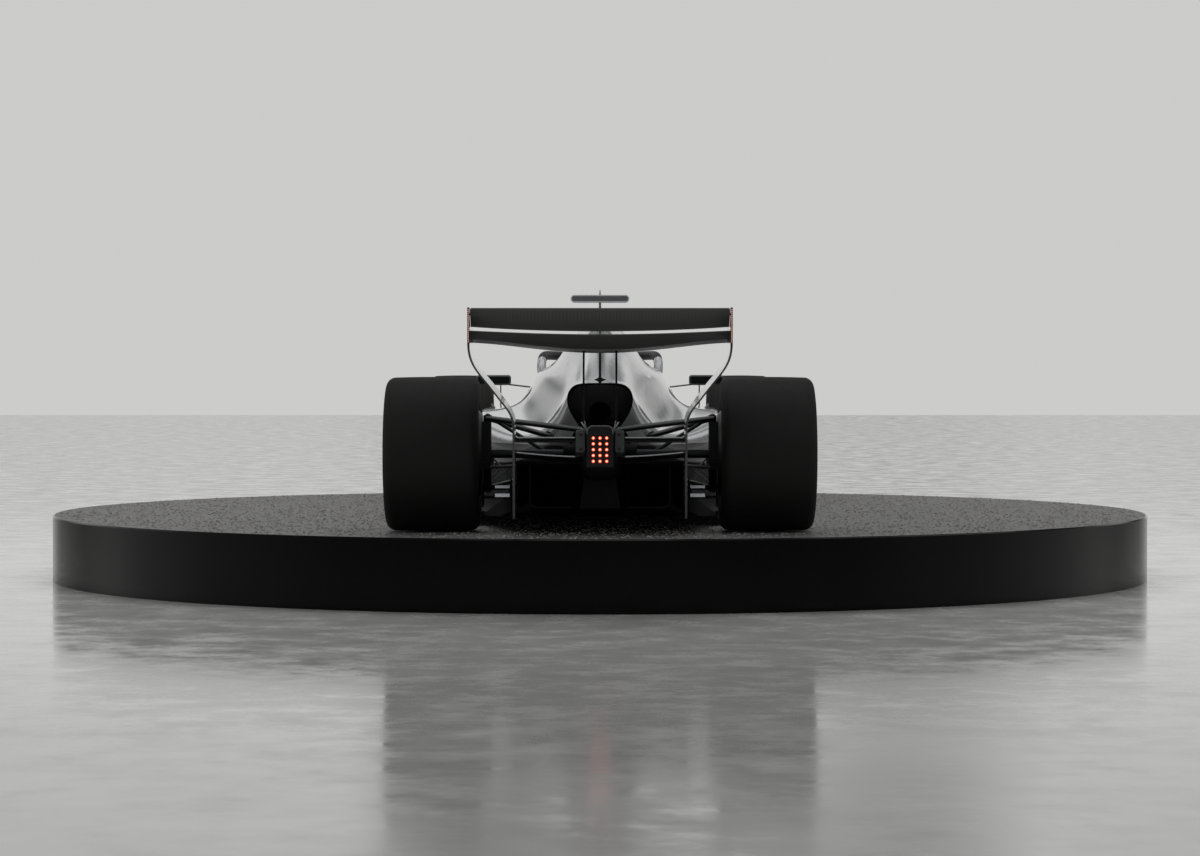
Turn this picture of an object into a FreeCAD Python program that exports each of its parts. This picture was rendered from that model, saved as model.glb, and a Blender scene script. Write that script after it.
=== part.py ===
import FreeCAD, Part

import math
import os

import Sketcher
from FreeCAD import Placement, Rotation, Vector

# An open wheel racing car on its round display plinth, in millimetres.
# World frame: +Y is the way the car faces, +X its right side, +Z up, origin under the plinth's centre.
# Car frame: the same axes, origin on the ground under the middle of the rear axle.

PARTS_FOLDER = "parts"

# Driving dimensions, each written once. Heights are above the ground the tyres stand on and
# stations along the car are measured ahead of the rear axle, unless the name says otherwise.
SIZES = {
    # Plinth
    "plinth_radius": 2870,
    "plinth_height": 334,
    "plinth_rim": 12,
    "plinth_bevel": 6,
    "deck_depth": 18,
    # Car on its plinth
    "axle_behind_centre": 2090,
    "wheelbase": 3550,
    "fit": 0.3,
    "running_gap": 6,
    # Tyres and wheels
    "tyre_radius": 360,
    "bead_radius": 229,
    "crown_drop": 3,
    "shoulder_radius": 44,
    "shoulder_inset": 4,
    "sidewall_radius": 220,
    "sidewall_bulge": 16,
    "rear_tyre_width": 445,
    "rear_overall_width": 2000,
    "front_tyre_width": 365,
    "front_overall_width": 1960,
    "rim_wall": 9,
    "rim_well": 10,
    "rim_ramp": 26,
    "spoke_inset": 22,
    "spoke_depth": 26,
    "spoke_dish": 34,
    "spoke_count": 10,
    "window_margin": 14,
    "window_inner_half": 14,
    "window_outer_half": 46,
    "hub_length": 52,
    "hub_cap": 8,
    "hub_radius": 62,
    "spindle_radius": 30,
    "nut_radius": 26,
    "nut_length": 44,
    "drum_wall": 10,
    "drum_bevel": 18,
    "drum_recess": 60,
    "drum_inboard": 6,
    # Front suspension and steering
    "kingpin_inset": 38,
    "kingpin_pin": 8,
    "ball_radius": 20,
    "ball_height": 30,
    "front_upper_rise": 140,
    "front_lower_drop": 130,
    "front_leg_spread": 330,
    "arm_chord": 58,
    "arm_thickness": 20,
    "rear_arm_chord": 76,
    "rear_arm_thickness": 26,
    "arm_room": 14,
    "steer_arm_reach": 120,
    "track_rod_rise": 45,
    "track_rod_radius": 9,
    "rack_radius": 20,
    "rack_length": 210,
    "rack_case_wall": 10,
    "rod_window": 20,
    "rack_case_half": 150,
    "lug_height": 20,
    "eye_height": 16,
    "peg_radius": 5,
    # Rear suspension
    "rear_upper_rise": 166,
    "rear_lower_drop": 160,
    "rear_ball_inset": 24,
    "driveshaft_radius": 20,
    "flange_reach": 170,
    "flange_radius": 46,
    "engine_half": 190,
    "engine_height": 400,
    "upper_root_up": 470,
    "winglet_inner": 413,
    "winglet_high": 212,
    "winglet_low": 172,
    "winglet_front": -70,
    "winglet_back": -220,
    # Survival cell
    "tub_wall": 28,
    "cockpit_front": 2790,
    "cockpit_back": 1930,
    "cockpit_front_half": 150,
    "cockpit_back_half": 235,
    # Bodywork
    "skin": 12,
    "tub_gap": 2,
    "case_gap": 10,
    "flange_room": 60,
    "flange_room_half": 400,
    "fin_thickness": 12,
    "star_half": 30,
    "star_rise": 19,
    "star_waist": 11,
    "star_up": 706,
    "star_end": 96,
    "mouth_half": 92,
    "mouth_rise": 69,
    "mouth_height": 905,
    "collar_reach": 52,
    "collar_lip": 4,
    "fairing_front": 1922,
    "fairing_half": 60,
    "fairing_rise": 24,
    "fairing_up": 744,
    "fairing_root_half": 105,
    "fairing_root_rise": 60,
    "fairing_root_up": 800,
    "pipe_radius": 52,
    "pipe_wall": 4,
    "pipe_height": 548,
    "pipe_end": 330,
    "pipe_front": 620,
    # Floor
    "floor_bottom": 52,
    "floor_thickness": 20,
    "floor_half": 790,
    "floor_end": 430,
    "floor_bend": 2480,
    "floor_nose": 3060,
    "floor_corner": 60,
    "lip_inner": 330,
    "lip_outer": 660,
    "lip_front": 2890,
    "lip_rise": 140,
    "lip_thickness": 9,
    "fence_first": 405,
    "fence_pitch": 82,
    "fence_thickness": 6,
    "plank_half": 150,
    "plank_front": 2980,
    "plank_thickness": 12,
    "diffuser_end": -350,
    "diffuser_half": 384,
    "diffuser_top": 336,
    "diffuser_side": 161,
    "tunnel_half": 324,
    "tunnel_bottom": 120,
    "tunnel_round": 34,
    "keel_top_half": 60,
    "keel_foot_half": 92,
    "keel_front_half": 160,
    "tunnel_wall": 8,
    "tunnel_lip": 160,
    # Rear wing
    "wing_half": 592,
    "wing_top": 1025,
    "wing_rear": -700,
    "endplate_thickness": 10,
    "endplate_lower_half": 396,
    "endplate_bottom": 77,
    "endplate_depth": 400,
    "endplate_roll": 22,
    "pylon_half": 74,
    "pylon_thickness": 9,
    "hinge_radius": 6,
    "hinge_ahead": 30,
    "hinge_below": 24,
    "endplate_rise": 6,
    # Rear light
    "light_half": 60,
    "light_top": 504,
    "light_bottom": 318,
    "light_depth": 46,
    "light_corner": 26,
    "lens_lowest": 344,
    "lens_height": 4,
    "lens_radius": 5.5,
    "lens_pitch_across": 30,
    "lens_pitch_up": 26,
    # Front wing
    "front_wing_half": 950,
    # Cockpit
    "wheel_station": 2560,
    "wheel_height": 585,
    "wheel_half": 138,
    "halo_tube": 24,
    "halo_top": 820,
    "headrest_low": 640,
    "headrest_top": 728,
    "headrest_width": 62,
    "headrest_front": 2420,
    "mirror_half": 95,
    "mirror_height": 56,
    "mirror_depth": 74,
    "mirror_across": 582,
    "mirror_up": 696,
    "mirror_station": 2620,
    "mirror_round": 16,
    "mirror_post_across": 544,
    "mirror_arm_drop": 20,
    "camera_half": 151,
    "camera_height": 39,
    "camera_depth": 124,
    "camera_up": 1120,
    "camera_station": 1700,
    "camera_neck_chord": 74,
    "camera_neck": 14,
    "antenna_radius": 4,
    "antenna_top": 1167,
}

# Survival cell stations: place ahead of the rear axle, half widths at foot, middle and top, heights.
TUB = {
    "tub_back": {"at": 1782, "foot": 215, "side": 335, "roof": 278, "low": 74, "mid": 390, "top": 776},
    "tub_seat": {"at": 2250, "foot": 215, "side": 335, "roof": 266, "low": 74, "mid": 390, "top": 716},
    "tub_dash": {"at": 2800, "foot": 150, "side": 268, "roof": 212, "low": 118, "mid": 400, "top": 660},
    "tub_legs": {"at": 3250, "foot": 118, "side": 222, "roof": 178, "low": 205, "mid": 420, "top": 622},
    "tub_nose": {"at": 3700, "foot": 98, "side": 178, "roof": 142, "low": 285, "mid": 430, "top": 580},
}

# Nose stations, in the same terms.
NOSE = {
    "nose_root": {"at": 3700, "foot": 98, "side": 178, "roof": 142, "low": 285, "mid": 430, "top": 580},
    "nose_neck": {"at": 3980, "foot": 84, "side": 160, "roof": 122, "low": 238, "mid": 370, "top": 505},
    "nose_taper": {"at": 4300, "foot": 70, "side": 130, "roof": 96, "low": 172, "mid": 276, "top": 372},
    "nose_end": {"at": 4560, "foot": 52, "side": 98, "roof": 70, "low": 122, "mid": 190, "top": 246},
    "nose_cap": {"at": 4640, "foot": 30, "side": 58, "roof": 40, "low": 126, "mid": 160, "top": 190},
}

# Gearbox and crash structure stations.
GEARBOX = {
    "box_front": {"at": 780, "foot": 150, "side": 190, "roof": 150, "low": 92, "mid": 260, "top": 430},
    "box_axle": {"at": 160, "foot": 105, "side": 138, "roof": 108, "low": 165, "mid": 300, "top": 470},
    "box_back": {"at": -260, "foot": 70, "side": 104, "roof": 84, "low": 232, "mid": 345, "top": 490},
    "box_tail": {"at": -630, "foot": 44, "side": 68, "roof": 58, "low": 300, "mid": 395, "top": 494},
}

# Engine cover stations: control points of half the skin's section, from its lower edge to the spine.
COVER = {
    "cover_mouth": (1780, (430, 78), (470, 190), (600, 330), (680, 450), (640, 553), (450, 545),
                    (365, 640), (325, 768), (190, 775), (130, 1003), (0, 1003)),
    "cover_pod": (1250, (400, 78), (430, 180), (545, 300), (622, 405), (590, 500), (420, 505),
                  (330, 590), (285, 735), (165, 790), (105, 955), (0, 955)),
    "cover_waist": (760, (262, 90), (300, 170), (400, 262), (455, 360), (425, 440), (330, 455),
                    (268, 540), (225, 680), (140, 735), (82, 862), (0, 862)),
    "cover_tail": (400, (170, 262), (204, 305), (256, 352), (290, 405), (278, 462), (238, 500),
                   (205, 560), (176, 640), (126, 700), (72, 775), (0, 775)),
    "cover_exit": (130, (84, 470), (98, 486), (122, 520), (143, 556), (155, 590), (157, 622),
                   (148, 656), (122, 682), (90, 689), (46, 691), (0, 691)),
}

# Sidepod stations ahead of the engine cover, from the pod's foot round to the cell's side.
POD = {
    "pod_lip": (2720, (330, 300), (440, 300), (560, 318), (640, 375), (660, 455), (620, 535),
                (520, 552), (420, 556), (330, 590), (290, 606), (0, 606)),
    "pod_inlet": (2560, (330, 232), (440, 238), (570, 280), (662, 372), (690, 480), (640, 552),
                  (500, 556), (400, 560), (335, 610), (285, 640), (0, 640)),
    "pod_mid": (2200, (400, 110), (450, 190), (590, 300), (690, 410), (680, 545), (500, 552),
                (400, 560), (345, 640), (285, 675), (240, 678), (0, 678)),
    "pod_back": (1780, (430, 78), (470, 190), (600, 330), (680, 450), (640, 553), (450, 545),
                 (365, 640), (330, 735), (295, 742), (240, 735), (0, 735)),
}

# Outlines and lines, point by point. Side views are (along, up), plans (across, along), lines
# (across, along, up). A text is a formula of the sheet.
OUTLINES = {
    "fin_view": ((1480, 900), (1480, 985), (700, 905), (250, 862), ("=star_end", 838),
                 ("=star_end", "=star_up"), ("=cover_exit_at - fit", "=star_up"),
                 ("=cover_exit_at - fit", 735), (400, 740), (760, 800), (1250, 900)),
    "floor_plan": ((0, "=floor_nose"), (150, "=floor_nose"), (210, 2980), ("=lip_inner", 2930),
                   ("=lip_inner", "=floor_bend"), ("=floor_half", "=floor_bend"), ("=floor_half", 900),
                   (735, 560), (560, 470), ("=ramp_front_half", "=floor_end"), (0, "=floor_end")),
    "front_endplate_view": ((4430, 60), (4400, 200), (4200, 280), (4010, 300), (3995, 120), (4010, 50),
                            (4200, 42)),
    "rear_endplate_view": ((-310, 1100), ("=wing_rear", 1100), ("=wing_rear", 850),
                           ("=wing_rear + 40", 760), ("=wing_rear + 130", 640), ("=wing_rear + 200", 480),
                           ("=wing_rear + 240", 200), ("=wing_rear + 260", 0), (-240, 0), (-230, 300),
                           (-250, 560), (-290, 760), (-310, 860)),
    "pylon_view": ((-615, 400), (-530, 400), (-520, 560), (-430, 740), (-350, 830), (-350, 900),
                   (-430, 900), (-440, 850), (-520, 740), (-590, 580)),
    "seat_view": ((1990, 140), (2060, 120), (2500, 110), (2760, 210), (2760, 230), (2500, 140),
                  (2180, 160), (2090, 560), (2040, 560)),
    "halo_line": ((-262, 1960, 640), (-300, 1945, 700), (-312, 1960, 770), (-305, 2040, "=halo_top"),
                  (-292, 2240, "=halo_top + 12"), (-225, 2560, "=halo_top + 8"), (-80, 2760, "=halo_top"),
                  (0, 2775, "=halo_top - 2")),
    "halo_pillar": ((0, 2765, "=halo_top - 10"), (0, 2960, 590)),
    "rear_upper_roots": ((40, -150, "=upper_root_up"), (60, 540, 380)),
    "rear_lower_roots": ((30, -170, 340), (60, 520, 240)),
    "rear_rod_roots": ((60, 240, 240), (30, -230, 330)),
}

# Diffuser stations, from the floor's end to the rear edge.
DIFFUSER = {
    "ramp_front": {"at": "=floor_end - fit", "half": 545, "top": "=floor_bottom + floor_thickness",
                   "foot": "=floor_bottom", "tunnel": 500, "tunnel_foot": "=floor_bottom",
                   "keel": "=keel_front_half", "keel_foot": "=keel_front_half"},
    "ramp_kick": {"at": 200, "half": 470, "top": 132, "foot": "=floor_bottom + 8", "tunnel": 430,
                  "tunnel_foot": "=floor_bottom + 6", "keel": "=keel_front_half",
                  "keel_foot": "=keel_front_half"},
    "ramp_mid": {"at": -80, "half": "=diffuser_half", "top": 240, "foot": 110,
                 "tunnel": "=tunnel_half + 30", "tunnel_foot": 86, "keel": "=keel_foot_half",
                 "keel_foot": "=keel_foot_half + 10"},
    "ramp_end": {"at": "=diffuser_end", "half": "=diffuser_half", "top": "=diffuser_top",
                 "foot": "=diffuser_side", "tunnel": "=tunnel_half", "tunnel_foot": "=tunnel_bottom",
                 "keel": "=keel_top_half", "keel_foot": "=keel_foot_half"},
}

# Wing sections, from the tip to the root: share of the half span, then the nose and the tail as
# places along and up, depth and camber.
WING_FIELDS = ("share", "nose_along", "nose_up", "tail_along", "tail_up", "depth", "camber")
WINGS = {
    "front_main": ((1, 4330, 84, 4150, 96, 22, 8), (0.57, 4520, 76, 4290, 84, 26, 12),
                   (0, 4610, 100, 4380, 104, 26, 6)),
    "front_flap_low": ((1, 4170, 112, 4095, 134, 11, 6), (0.57, 4300, 108, 4180, 138, 14, 9),
                       (0.07, 4400, 128, 4265, 152, 16, 10)),
    "front_flap_mid": ((1, 4108, 152, 4050, 186, 11, 6), (0.57, 4195, 158, 4110, 204, 14, 9),
                       (0.07, 4275, 172, 4165, 210, 16, 10)),
    "front_flap_high": ((1, 4062, 204, 4012, 250, 11, 6), (0.57, 4125, 224, 4058, 282, 14, 9),
                        (0.07, 4180, 230, 4095, 282, 16, 10)),
    "rear_main": ((1, -330, 887, -588, 927, 22, 18), (0.51, -330, 859, -588, 915, 26, 20),
                  (0, -330, 839, -588, 910, 28, 22)),
    "rear_flap": ((1, -576, 947, "=wing_rear", "=wing_top", 16, 7),
                  (0.51, -576, 932, "=wing_rear", "=wing_top", 18, 8),
                  (0, -576, 927, "=wing_rear", "=wing_top", 18, 8)),
    "beam_high": ((1, -330, 428, -500, 448, 16, 8), (0, -330, 428, -500, 448, 16, 8)),
    "beam_low": ((1, -380, 360, -520, 382, 14, 8), (0, -380, 338, -520, 360, 14, 8)),
}


def fill_sheet(document):
    """Write every driving dimension into the sheet under its own name."""
    sheet = document.addObject("Spreadsheet::Sheet", "Sizes")
    cells = dict(SIZES)
    for table in (TUB, NOSE, GEARBOX, DIFFUSER):
        for station, fields in table.items():
            for field, number in fields.items():
                cells[f"{station}_{field}"] = number
    for table in (COVER, POD):
        for station, (at, *points) in table.items():
            cells[f"{station}_at"] = at
            for index, (across, up) in enumerate(points):
                cells[f"{station}_across_{index}"] = across
                cells[f"{station}_up_{index}"] = up
    for name, points in OUTLINES.items():
        for index, point in enumerate(points):
            for axis, number in zip(("first", "second", "third"), point):
                cells[f"{name}_{axis}_{index}"] = number
    for name, sections in WINGS.items():
        for index, section in enumerate(sections):
            for field, number in zip(WING_FIELDS, section):
                cells[f"{name}_{field}_{index}"] = number
    for row, (name, number) in enumerate(cells.items(), start=1):
        sheet.set(f"A{row}", name)
        sheet.set(f"B{row}", str(number))
        sheet.setAlias(f"B{row}", name)
    document.recompute()
    return sheet


doc = FreeCAD.newDocument("racing_car")
sizes = fill_sheet(doc)
pieces = []


def mm(name):
    """A driving dimension as a plain number."""
    return float(sizes.get(name))


def value(formula):
    """The number that a sheet formula gives."""
    return float(sizes.evalExpression(formula))


# Values that follow from the driving dimensions

GROUND = mm("plinth_height") + mm("fit")
REAR_Y = -mm("axle_behind_centre")
FRONT_Y = mm("wheelbase")
HUB = mm("tyre_radius")
REAR_INNER = mm("rear_overall_width") / 2 - mm("rear_tyre_width")
FRONT_INNER = mm("front_overall_width") / 2 - mm("front_tyre_width")
KINGPIN = FRONT_INNER - mm("kingpin_inset")
SIDES = (-1, 1)
SIDE_NAMES = {-1: "left", 1: "right"}


# Drawing helpers


def line_points(name):
    """Points of a named outline or line, as the sheet holds them."""
    points = []
    while sizes.getCellFromAlias(f"{name}_first_{len(points)}"):
        index = len(points)
        aliases = [f"{name}_{axis}_{index}" for axis in ("first", "second", "third")]
        points.append(tuple(mm(alias) for alias in aliases if sizes.getCellFromAlias(alias)))
    return points


def wing_sections(name, half):
    """Sections of a wing's right half, from its tip to its root, as the sheet holds them."""
    sections = []
    while sizes.getCellFromAlias(f"{name}_share_{len(sections)}"):
        index = len(sections)
        share, nose_along, nose_up, tail_along, tail_up, depth, camber = (
            mm(f"{name}_{field}_{index}") for field in WING_FIELDS)
        sections.append((share * half, (nose_along, nose_up), (tail_along, tail_up), depth, camber))
    return sections


def draw(body, name, role, corners):
    """Closed outline on one of the body's own planes, its corners given as sheet formulas.

    A corner is (across, up), or (across, up, radius, turn) where an arc of that radius runs on
    to the next corner, turning left for 1 and right for -1.
    """
    sketch = body.newObject("Sketcher::SketchObject", name)
    plane = [item for item in body.Origin.OriginFeatures if item.Role == role][0]
    sketch.AttachmentSupport = [(plane, "")]
    sketch.MapMode = "FlatFace"
    points = [Vector(value(corner[0]), value(corner[1]), 0) for corner in corners]
    ends = []
    for index, corner in enumerate(corners):
        start = points[index]
        stop = points[(index + 1) % len(points)]
        if len(corner) == 2:
            sketch.addGeometry(Part.LineSegment(start, stop))
            ends.append((1, 2))
        else:
            sketch.addGeometry(turn_arc(start, stop, value(corner[2]), corner[3]))
            ends.append((1, 2) if corner[3] > 0 else (2, 1))
    for index, corner in enumerate(corners):
        last = (index - 1) % len(corners)
        first_end = ends[index][0]
        sketch.addConstraint(Sketcher.Constraint("Coincident", last, ends[last][1], index, first_end))
        bind_constraint(sketch, corner[0], "DistanceX", -1, 1, index, first_end)
        bind_constraint(sketch, corner[1], "DistanceY", -1, 1, index, first_end)
        if len(corner) > 2:
            bind_constraint(sketch, corner[2], "Radius", index)
    return sketch


def turn_arc(start, stop, radius, turn):
    """Arc of a given radius between two corners, turning left or right."""
    half = (stop - start) * 0.5
    left = Vector(-half.y, half.x, 0).normalize()
    reach = math.sqrt(max(radius * radius - half.Length**2, 0))
    centre = start + half + left * (reach * turn)
    angles = [math.atan2(end.y - centre.y, end.x - centre.x) for end in (start, stop)]
    if turn < 0:
        angles.reverse()
    return Part.ArcOfCircle(Part.Circle(centre, Vector(0, 0, 1), radius), *angles)


def bind_constraint(sketch, formula, kind, *where):
    """Add a dimension to a sketch and tie it to the sheet."""
    index = sketch.addConstraint(Sketcher.Constraint(kind, *where, value(formula)))
    sketch.setExpression(f"Constraints[{index}]", formula)


def add_body(label):
    """A new body that becomes a piece of the car."""
    body = doc.addObject("PartDesign::Body", label)
    body.Label = label
    pieces.append(body)
    return body


def place(piece, across="0", along="0", up="0"):
    """Tie a piece's place to the sheet, in the car frame."""
    piece.setExpression(".Placement.Base.x", across)
    piece.setExpression(".Placement.Base.y", f"{along} - Sizes.axle_behind_centre")
    piece.setExpression(".Placement.Base.z", f"{up} + Sizes.plinth_height + Sizes.fit")


def revolve(body, name, sketch, axis):
    """Turn a section once round one of its own axes."""
    feature = body.newObject("PartDesign::Revolution", name)
    feature.Profile = sketch
    feature.ReferenceAxis = (sketch, [axis])
    feature.Angle = 360
    return feature


def pad(body, name, sketch, length, midplane=False):
    """Extrude a section by a length from the sheet."""
    feature = body.newObject("PartDesign::Pad", name)
    feature.Profile = sketch
    feature.Midplane = midplane
    feature.setExpression("Length", length)
    return feature


def keep(label, shape):
    """Store a shape drawn in the car frame as a piece of the car."""
    solids = shape.Solids
    whole = solids[0] if len(solids) == 1 else Part.makeCompound(solids)
    piece = doc.addObject("Part::Feature", label)
    piece.Label = label
    piece.Shape = whole
    piece.Placement = Placement(Vector(0, REAR_Y, GROUND), Rotation())
    pieces.append(piece)
    return whole


def both_sides(shape):
    """A shape and its mirror image across the car's middle plane."""
    return Part.makeCompound([shape, shape.mirror(Vector(0, 0, 0), Vector(1, 0, 0))])


def flipped(shape, side):
    """The shape itself for the right side, its mirror image for the left."""
    return shape if side > 0 else shape.mirror(Vector(0, 0, 0), Vector(1, 0, 0))


def smooth(points, degree=3):
    """Smooth edge that follows a few control points."""
    curve = Part.BSplineCurve()
    curve.buildFromPoles([Vector(*point) for point in points], False, min(degree, len(points) - 1))
    return curve.toShape()


def ring(at, half):
    """Section across the car from the control points of its right half, foot to crown."""
    right = [(across, at, up) for across, up in half]
    left = [(-across, at, up) for across, up in reversed(half)]
    edges = [smooth(right), smooth(left)]
    if half[0][0] > 0:
        edges.append(Part.makeLine(Vector(*left[-1]), Vector(*right[0])))
    return Part.Wire(edges)


def hull_half(station, inset=0.0):
    """Control points of half a body section with a foot, a side and a roof."""
    foot, side, roof = (mm(f"{station}_{name}") - inset for name in ("foot", "side", "roof"))
    low = mm(f"{station}_low") + inset
    mid = mm(f"{station}_mid")
    top = mm(f"{station}_top") - inset
    return [(0, low), (foot * 0.8, low), (foot * 1.15, low + 8), (side, (low + mid) / 2), (side, mid),
            (roof * 1.2, top - 8), (roof * 0.75, top), (0, top)]


def hull(stations, inset=0.0, first=None, last=None):
    """Solid through a row of stations; an inset makes the hollow inside the same walls."""
    rings = []
    for station in stations:
        at = mm(f"{station}_at")
        if station == stations[0] and first is not None:
            at = first
        if station == stations[-1] and last is not None:
            at = last
        rings.append(ring(at, hull_half(station, inset)))
    return Part.makeLoft(rings, True, False)


def skin_half(station, inset=0.0, drop=0.0):
    """Control points of half a skin section, moved in by the skin's thickness, its foot let down."""
    points = []
    index = 0
    while sizes.getCellFromAlias(f"{station}_across_{index}"):
        points.append((mm(f"{station}_across_{index}"), mm(f"{station}_up_{index}")))
        index += 1
    if not inset:
        return points
    moved = []
    for index, (across, up) in enumerate(points):
        before = points[max(index - 1, 0)]
        after = points[min(index + 1, len(points) - 1)]
        run = math.hypot(after[0] - before[0], after[1] - before[1])
        inward_across = -(after[1] - before[1]) / run
        inward_up = (after[0] - before[0]) / run
        if across == 0:
            moved.append((0, up - inset))
        elif index == 0:
            moved.append((across - inset, up - drop))
        else:
            moved.append((across + inward_across * inset, up + inward_up * inset))
    return moved


def strut(start, stop, chord, thickness):
    """Suspension arm of flattened section between two points, its chord lying along the car."""
    start = Vector(*start)
    stop = Vector(*stop)
    along = stop - start
    wire = Part.Wire(Part.Ellipse(Vector(0, 0, 0), chord / 2, thickness / 2).toShape())
    turned = Rotation(Vector(0, 1, 0), Vector(0, 0, 1), along, "ZXY")
    wire.Placement = Placement(start, turned)
    return Part.Face(wire).extrude(along)


def rod(start, stop, radius):
    """Round rod between two points."""
    start = Vector(*start)
    along = Vector(*stop) - start
    return Part.makeCylinder(radius, along.Length, start, along)


def plate(outline, side_from, side_to):
    """Flat plate with an outline in the car's side view, between two places across the car."""
    points = [Vector(side_from, along, up) for along, up in outline]
    face = Part.Face(Part.makePolygon(points + [points[0]]))
    return face.extrude(Vector(side_to - side_from, 0, 0))


def block(low, high):
    """Upright box between its lowest and highest corners."""
    size = Vector(*high) - Vector(*low)
    return Part.makeBox(size.x, size.y, size.z, Vector(*low))


def foil(across, front, tail, depth, camber):
    """Wing section in a side plane between its nose and its tail, both given as (along, up)."""
    run = Vector(0, tail[0] - front[0], tail[1] - front[1])
    rise = Vector(0, run.z, -run.y).normalize()
    nose = Vector(across, front[0], front[1])
    lip = 0.10 * depth
    upper = [(0, 0), (0, 0.7), (0.30, 0.9), (0.70, 0.4), (1, 0)]
    lower = [(1, 0), (0.70, -0.5), (0.30, -1.0), (0, -0.7), (0, 0)]

    def spot(back, up, sag, lift):
        return nose + run * back + rise * (up * depth / 2 - sag * camber + lift)

    sags = (0, 0.1, 1, 0.9, 0)
    top = smooth([spot(back, up, sag, lip * back) for (back, up), sag in zip(upper, sags)])
    low = smooth([spot(back, up, sag, -lip * back) for (back, up), sag in zip(lower, reversed(sags))])
    tail_edge = Part.makeLine(spot(1, 0, 0, lip), spot(1, 0, 0, -lip))
    return Part.Wire([top, tail_edge, low])


def wing(sections):
    """Wing element lofted across the car through its sections."""
    return Part.makeLoft([foil(*section) for section in sections], True, False)


def whole_wing(name, half):
    """Wing element that runs from tip to tip."""
    right = wing_sections(name, half)
    left = [(-across, *rest) for across, *rest in reversed(right[:-1])]
    return wing(right + left)


# Plinth


def build_plinth():
    """Round display plinth: a drum with a bevelled rim and the rough deck let into its top."""
    drum = add_body("plinth_drum")
    section = draw(drum, "drum_section", "XZ_Plane", [
        ("0", "0"),
        ("Sizes.plinth_radius", "0"),
        ("Sizes.plinth_radius", "Sizes.plinth_height - Sizes.plinth_bevel"),
        ("Sizes.plinth_radius - Sizes.plinth_bevel", "Sizes.plinth_height"),
        ("Sizes.plinth_radius - Sizes.plinth_rim", "Sizes.plinth_height"),
        ("Sizes.plinth_radius - Sizes.plinth_rim", "Sizes.plinth_height - Sizes.deck_depth"),
        ("0", "Sizes.plinth_height - Sizes.deck_depth"),
    ])
    revolve(drum, "drum_turned", section, "V_Axis")
    deck = doc.addObject("Part::Cylinder", "plinth_deck")
    deck.Label = "plinth_deck"
    deck.setExpression("Radius", "Sizes.plinth_radius - Sizes.plinth_rim - Sizes.fit")
    deck.setExpression("Height", "Sizes.deck_depth")
    deck.setExpression(".Placement.Base.z", "Sizes.plinth_height - Sizes.deck_depth")
    pieces.append(deck)


# Wheels


def set_wheel(piece, side, axle, along):
    """Put a piece drawn round its own X axis at a wheel's centre, its +X side facing outwards."""
    if side < 0:
        piece.Placement = Placement(Vector(), Rotation(Vector(0, 0, 1), 180))
    sign = "" if side > 0 else "-"
    across = f"{sign}(Sizes.{axle}_overall_width / 2 - Sizes.{axle}_tyre_width / 2)"
    place(piece, across, along, "Sizes.tyre_radius")


def build_tyre(label, side, axle, along):
    """Slick tyre turned from its section: beads, bulging sidewalls, round shoulders, flat crown."""
    tyre = add_body(label)
    half = f"(Sizes.{axle}_tyre_width / 2)"
    bead = "Sizes.bead_radius + Sizes.fit"
    wall = f"({half} - Sizes.sidewall_bulge)"
    side_top = "Sizes.tyre_radius - Sizes.shoulder_radius"
    crown_edge = f"({half} - Sizes.shoulder_radius - Sizes.shoulder_inset)"
    crown = f"({crown_edge} * {crown_edge} / Sizes.crown_drop + Sizes.crown_drop) / 2"
    section = draw(tyre, "tyre_section", "XY_Plane", [
        (f"-{wall}", bead),
        (wall, bead, "Sizes.sidewall_radius", 1),
        (f"{half} - Sizes.shoulder_inset", side_top, "Sizes.shoulder_radius", 1),
        (crown_edge, "Sizes.tyre_radius - Sizes.crown_drop", crown, 1),
        (f"-{crown_edge}", "Sizes.tyre_radius - Sizes.crown_drop", "Sizes.shoulder_radius", 1),
        (f"-({half} - Sizes.shoulder_inset)", side_top, "Sizes.sidewall_radius", 1),
    ])
    revolve(tyre, "tyre_turned", section, "H_Axis")
    set_wheel(tyre, side, axle, along)


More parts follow.
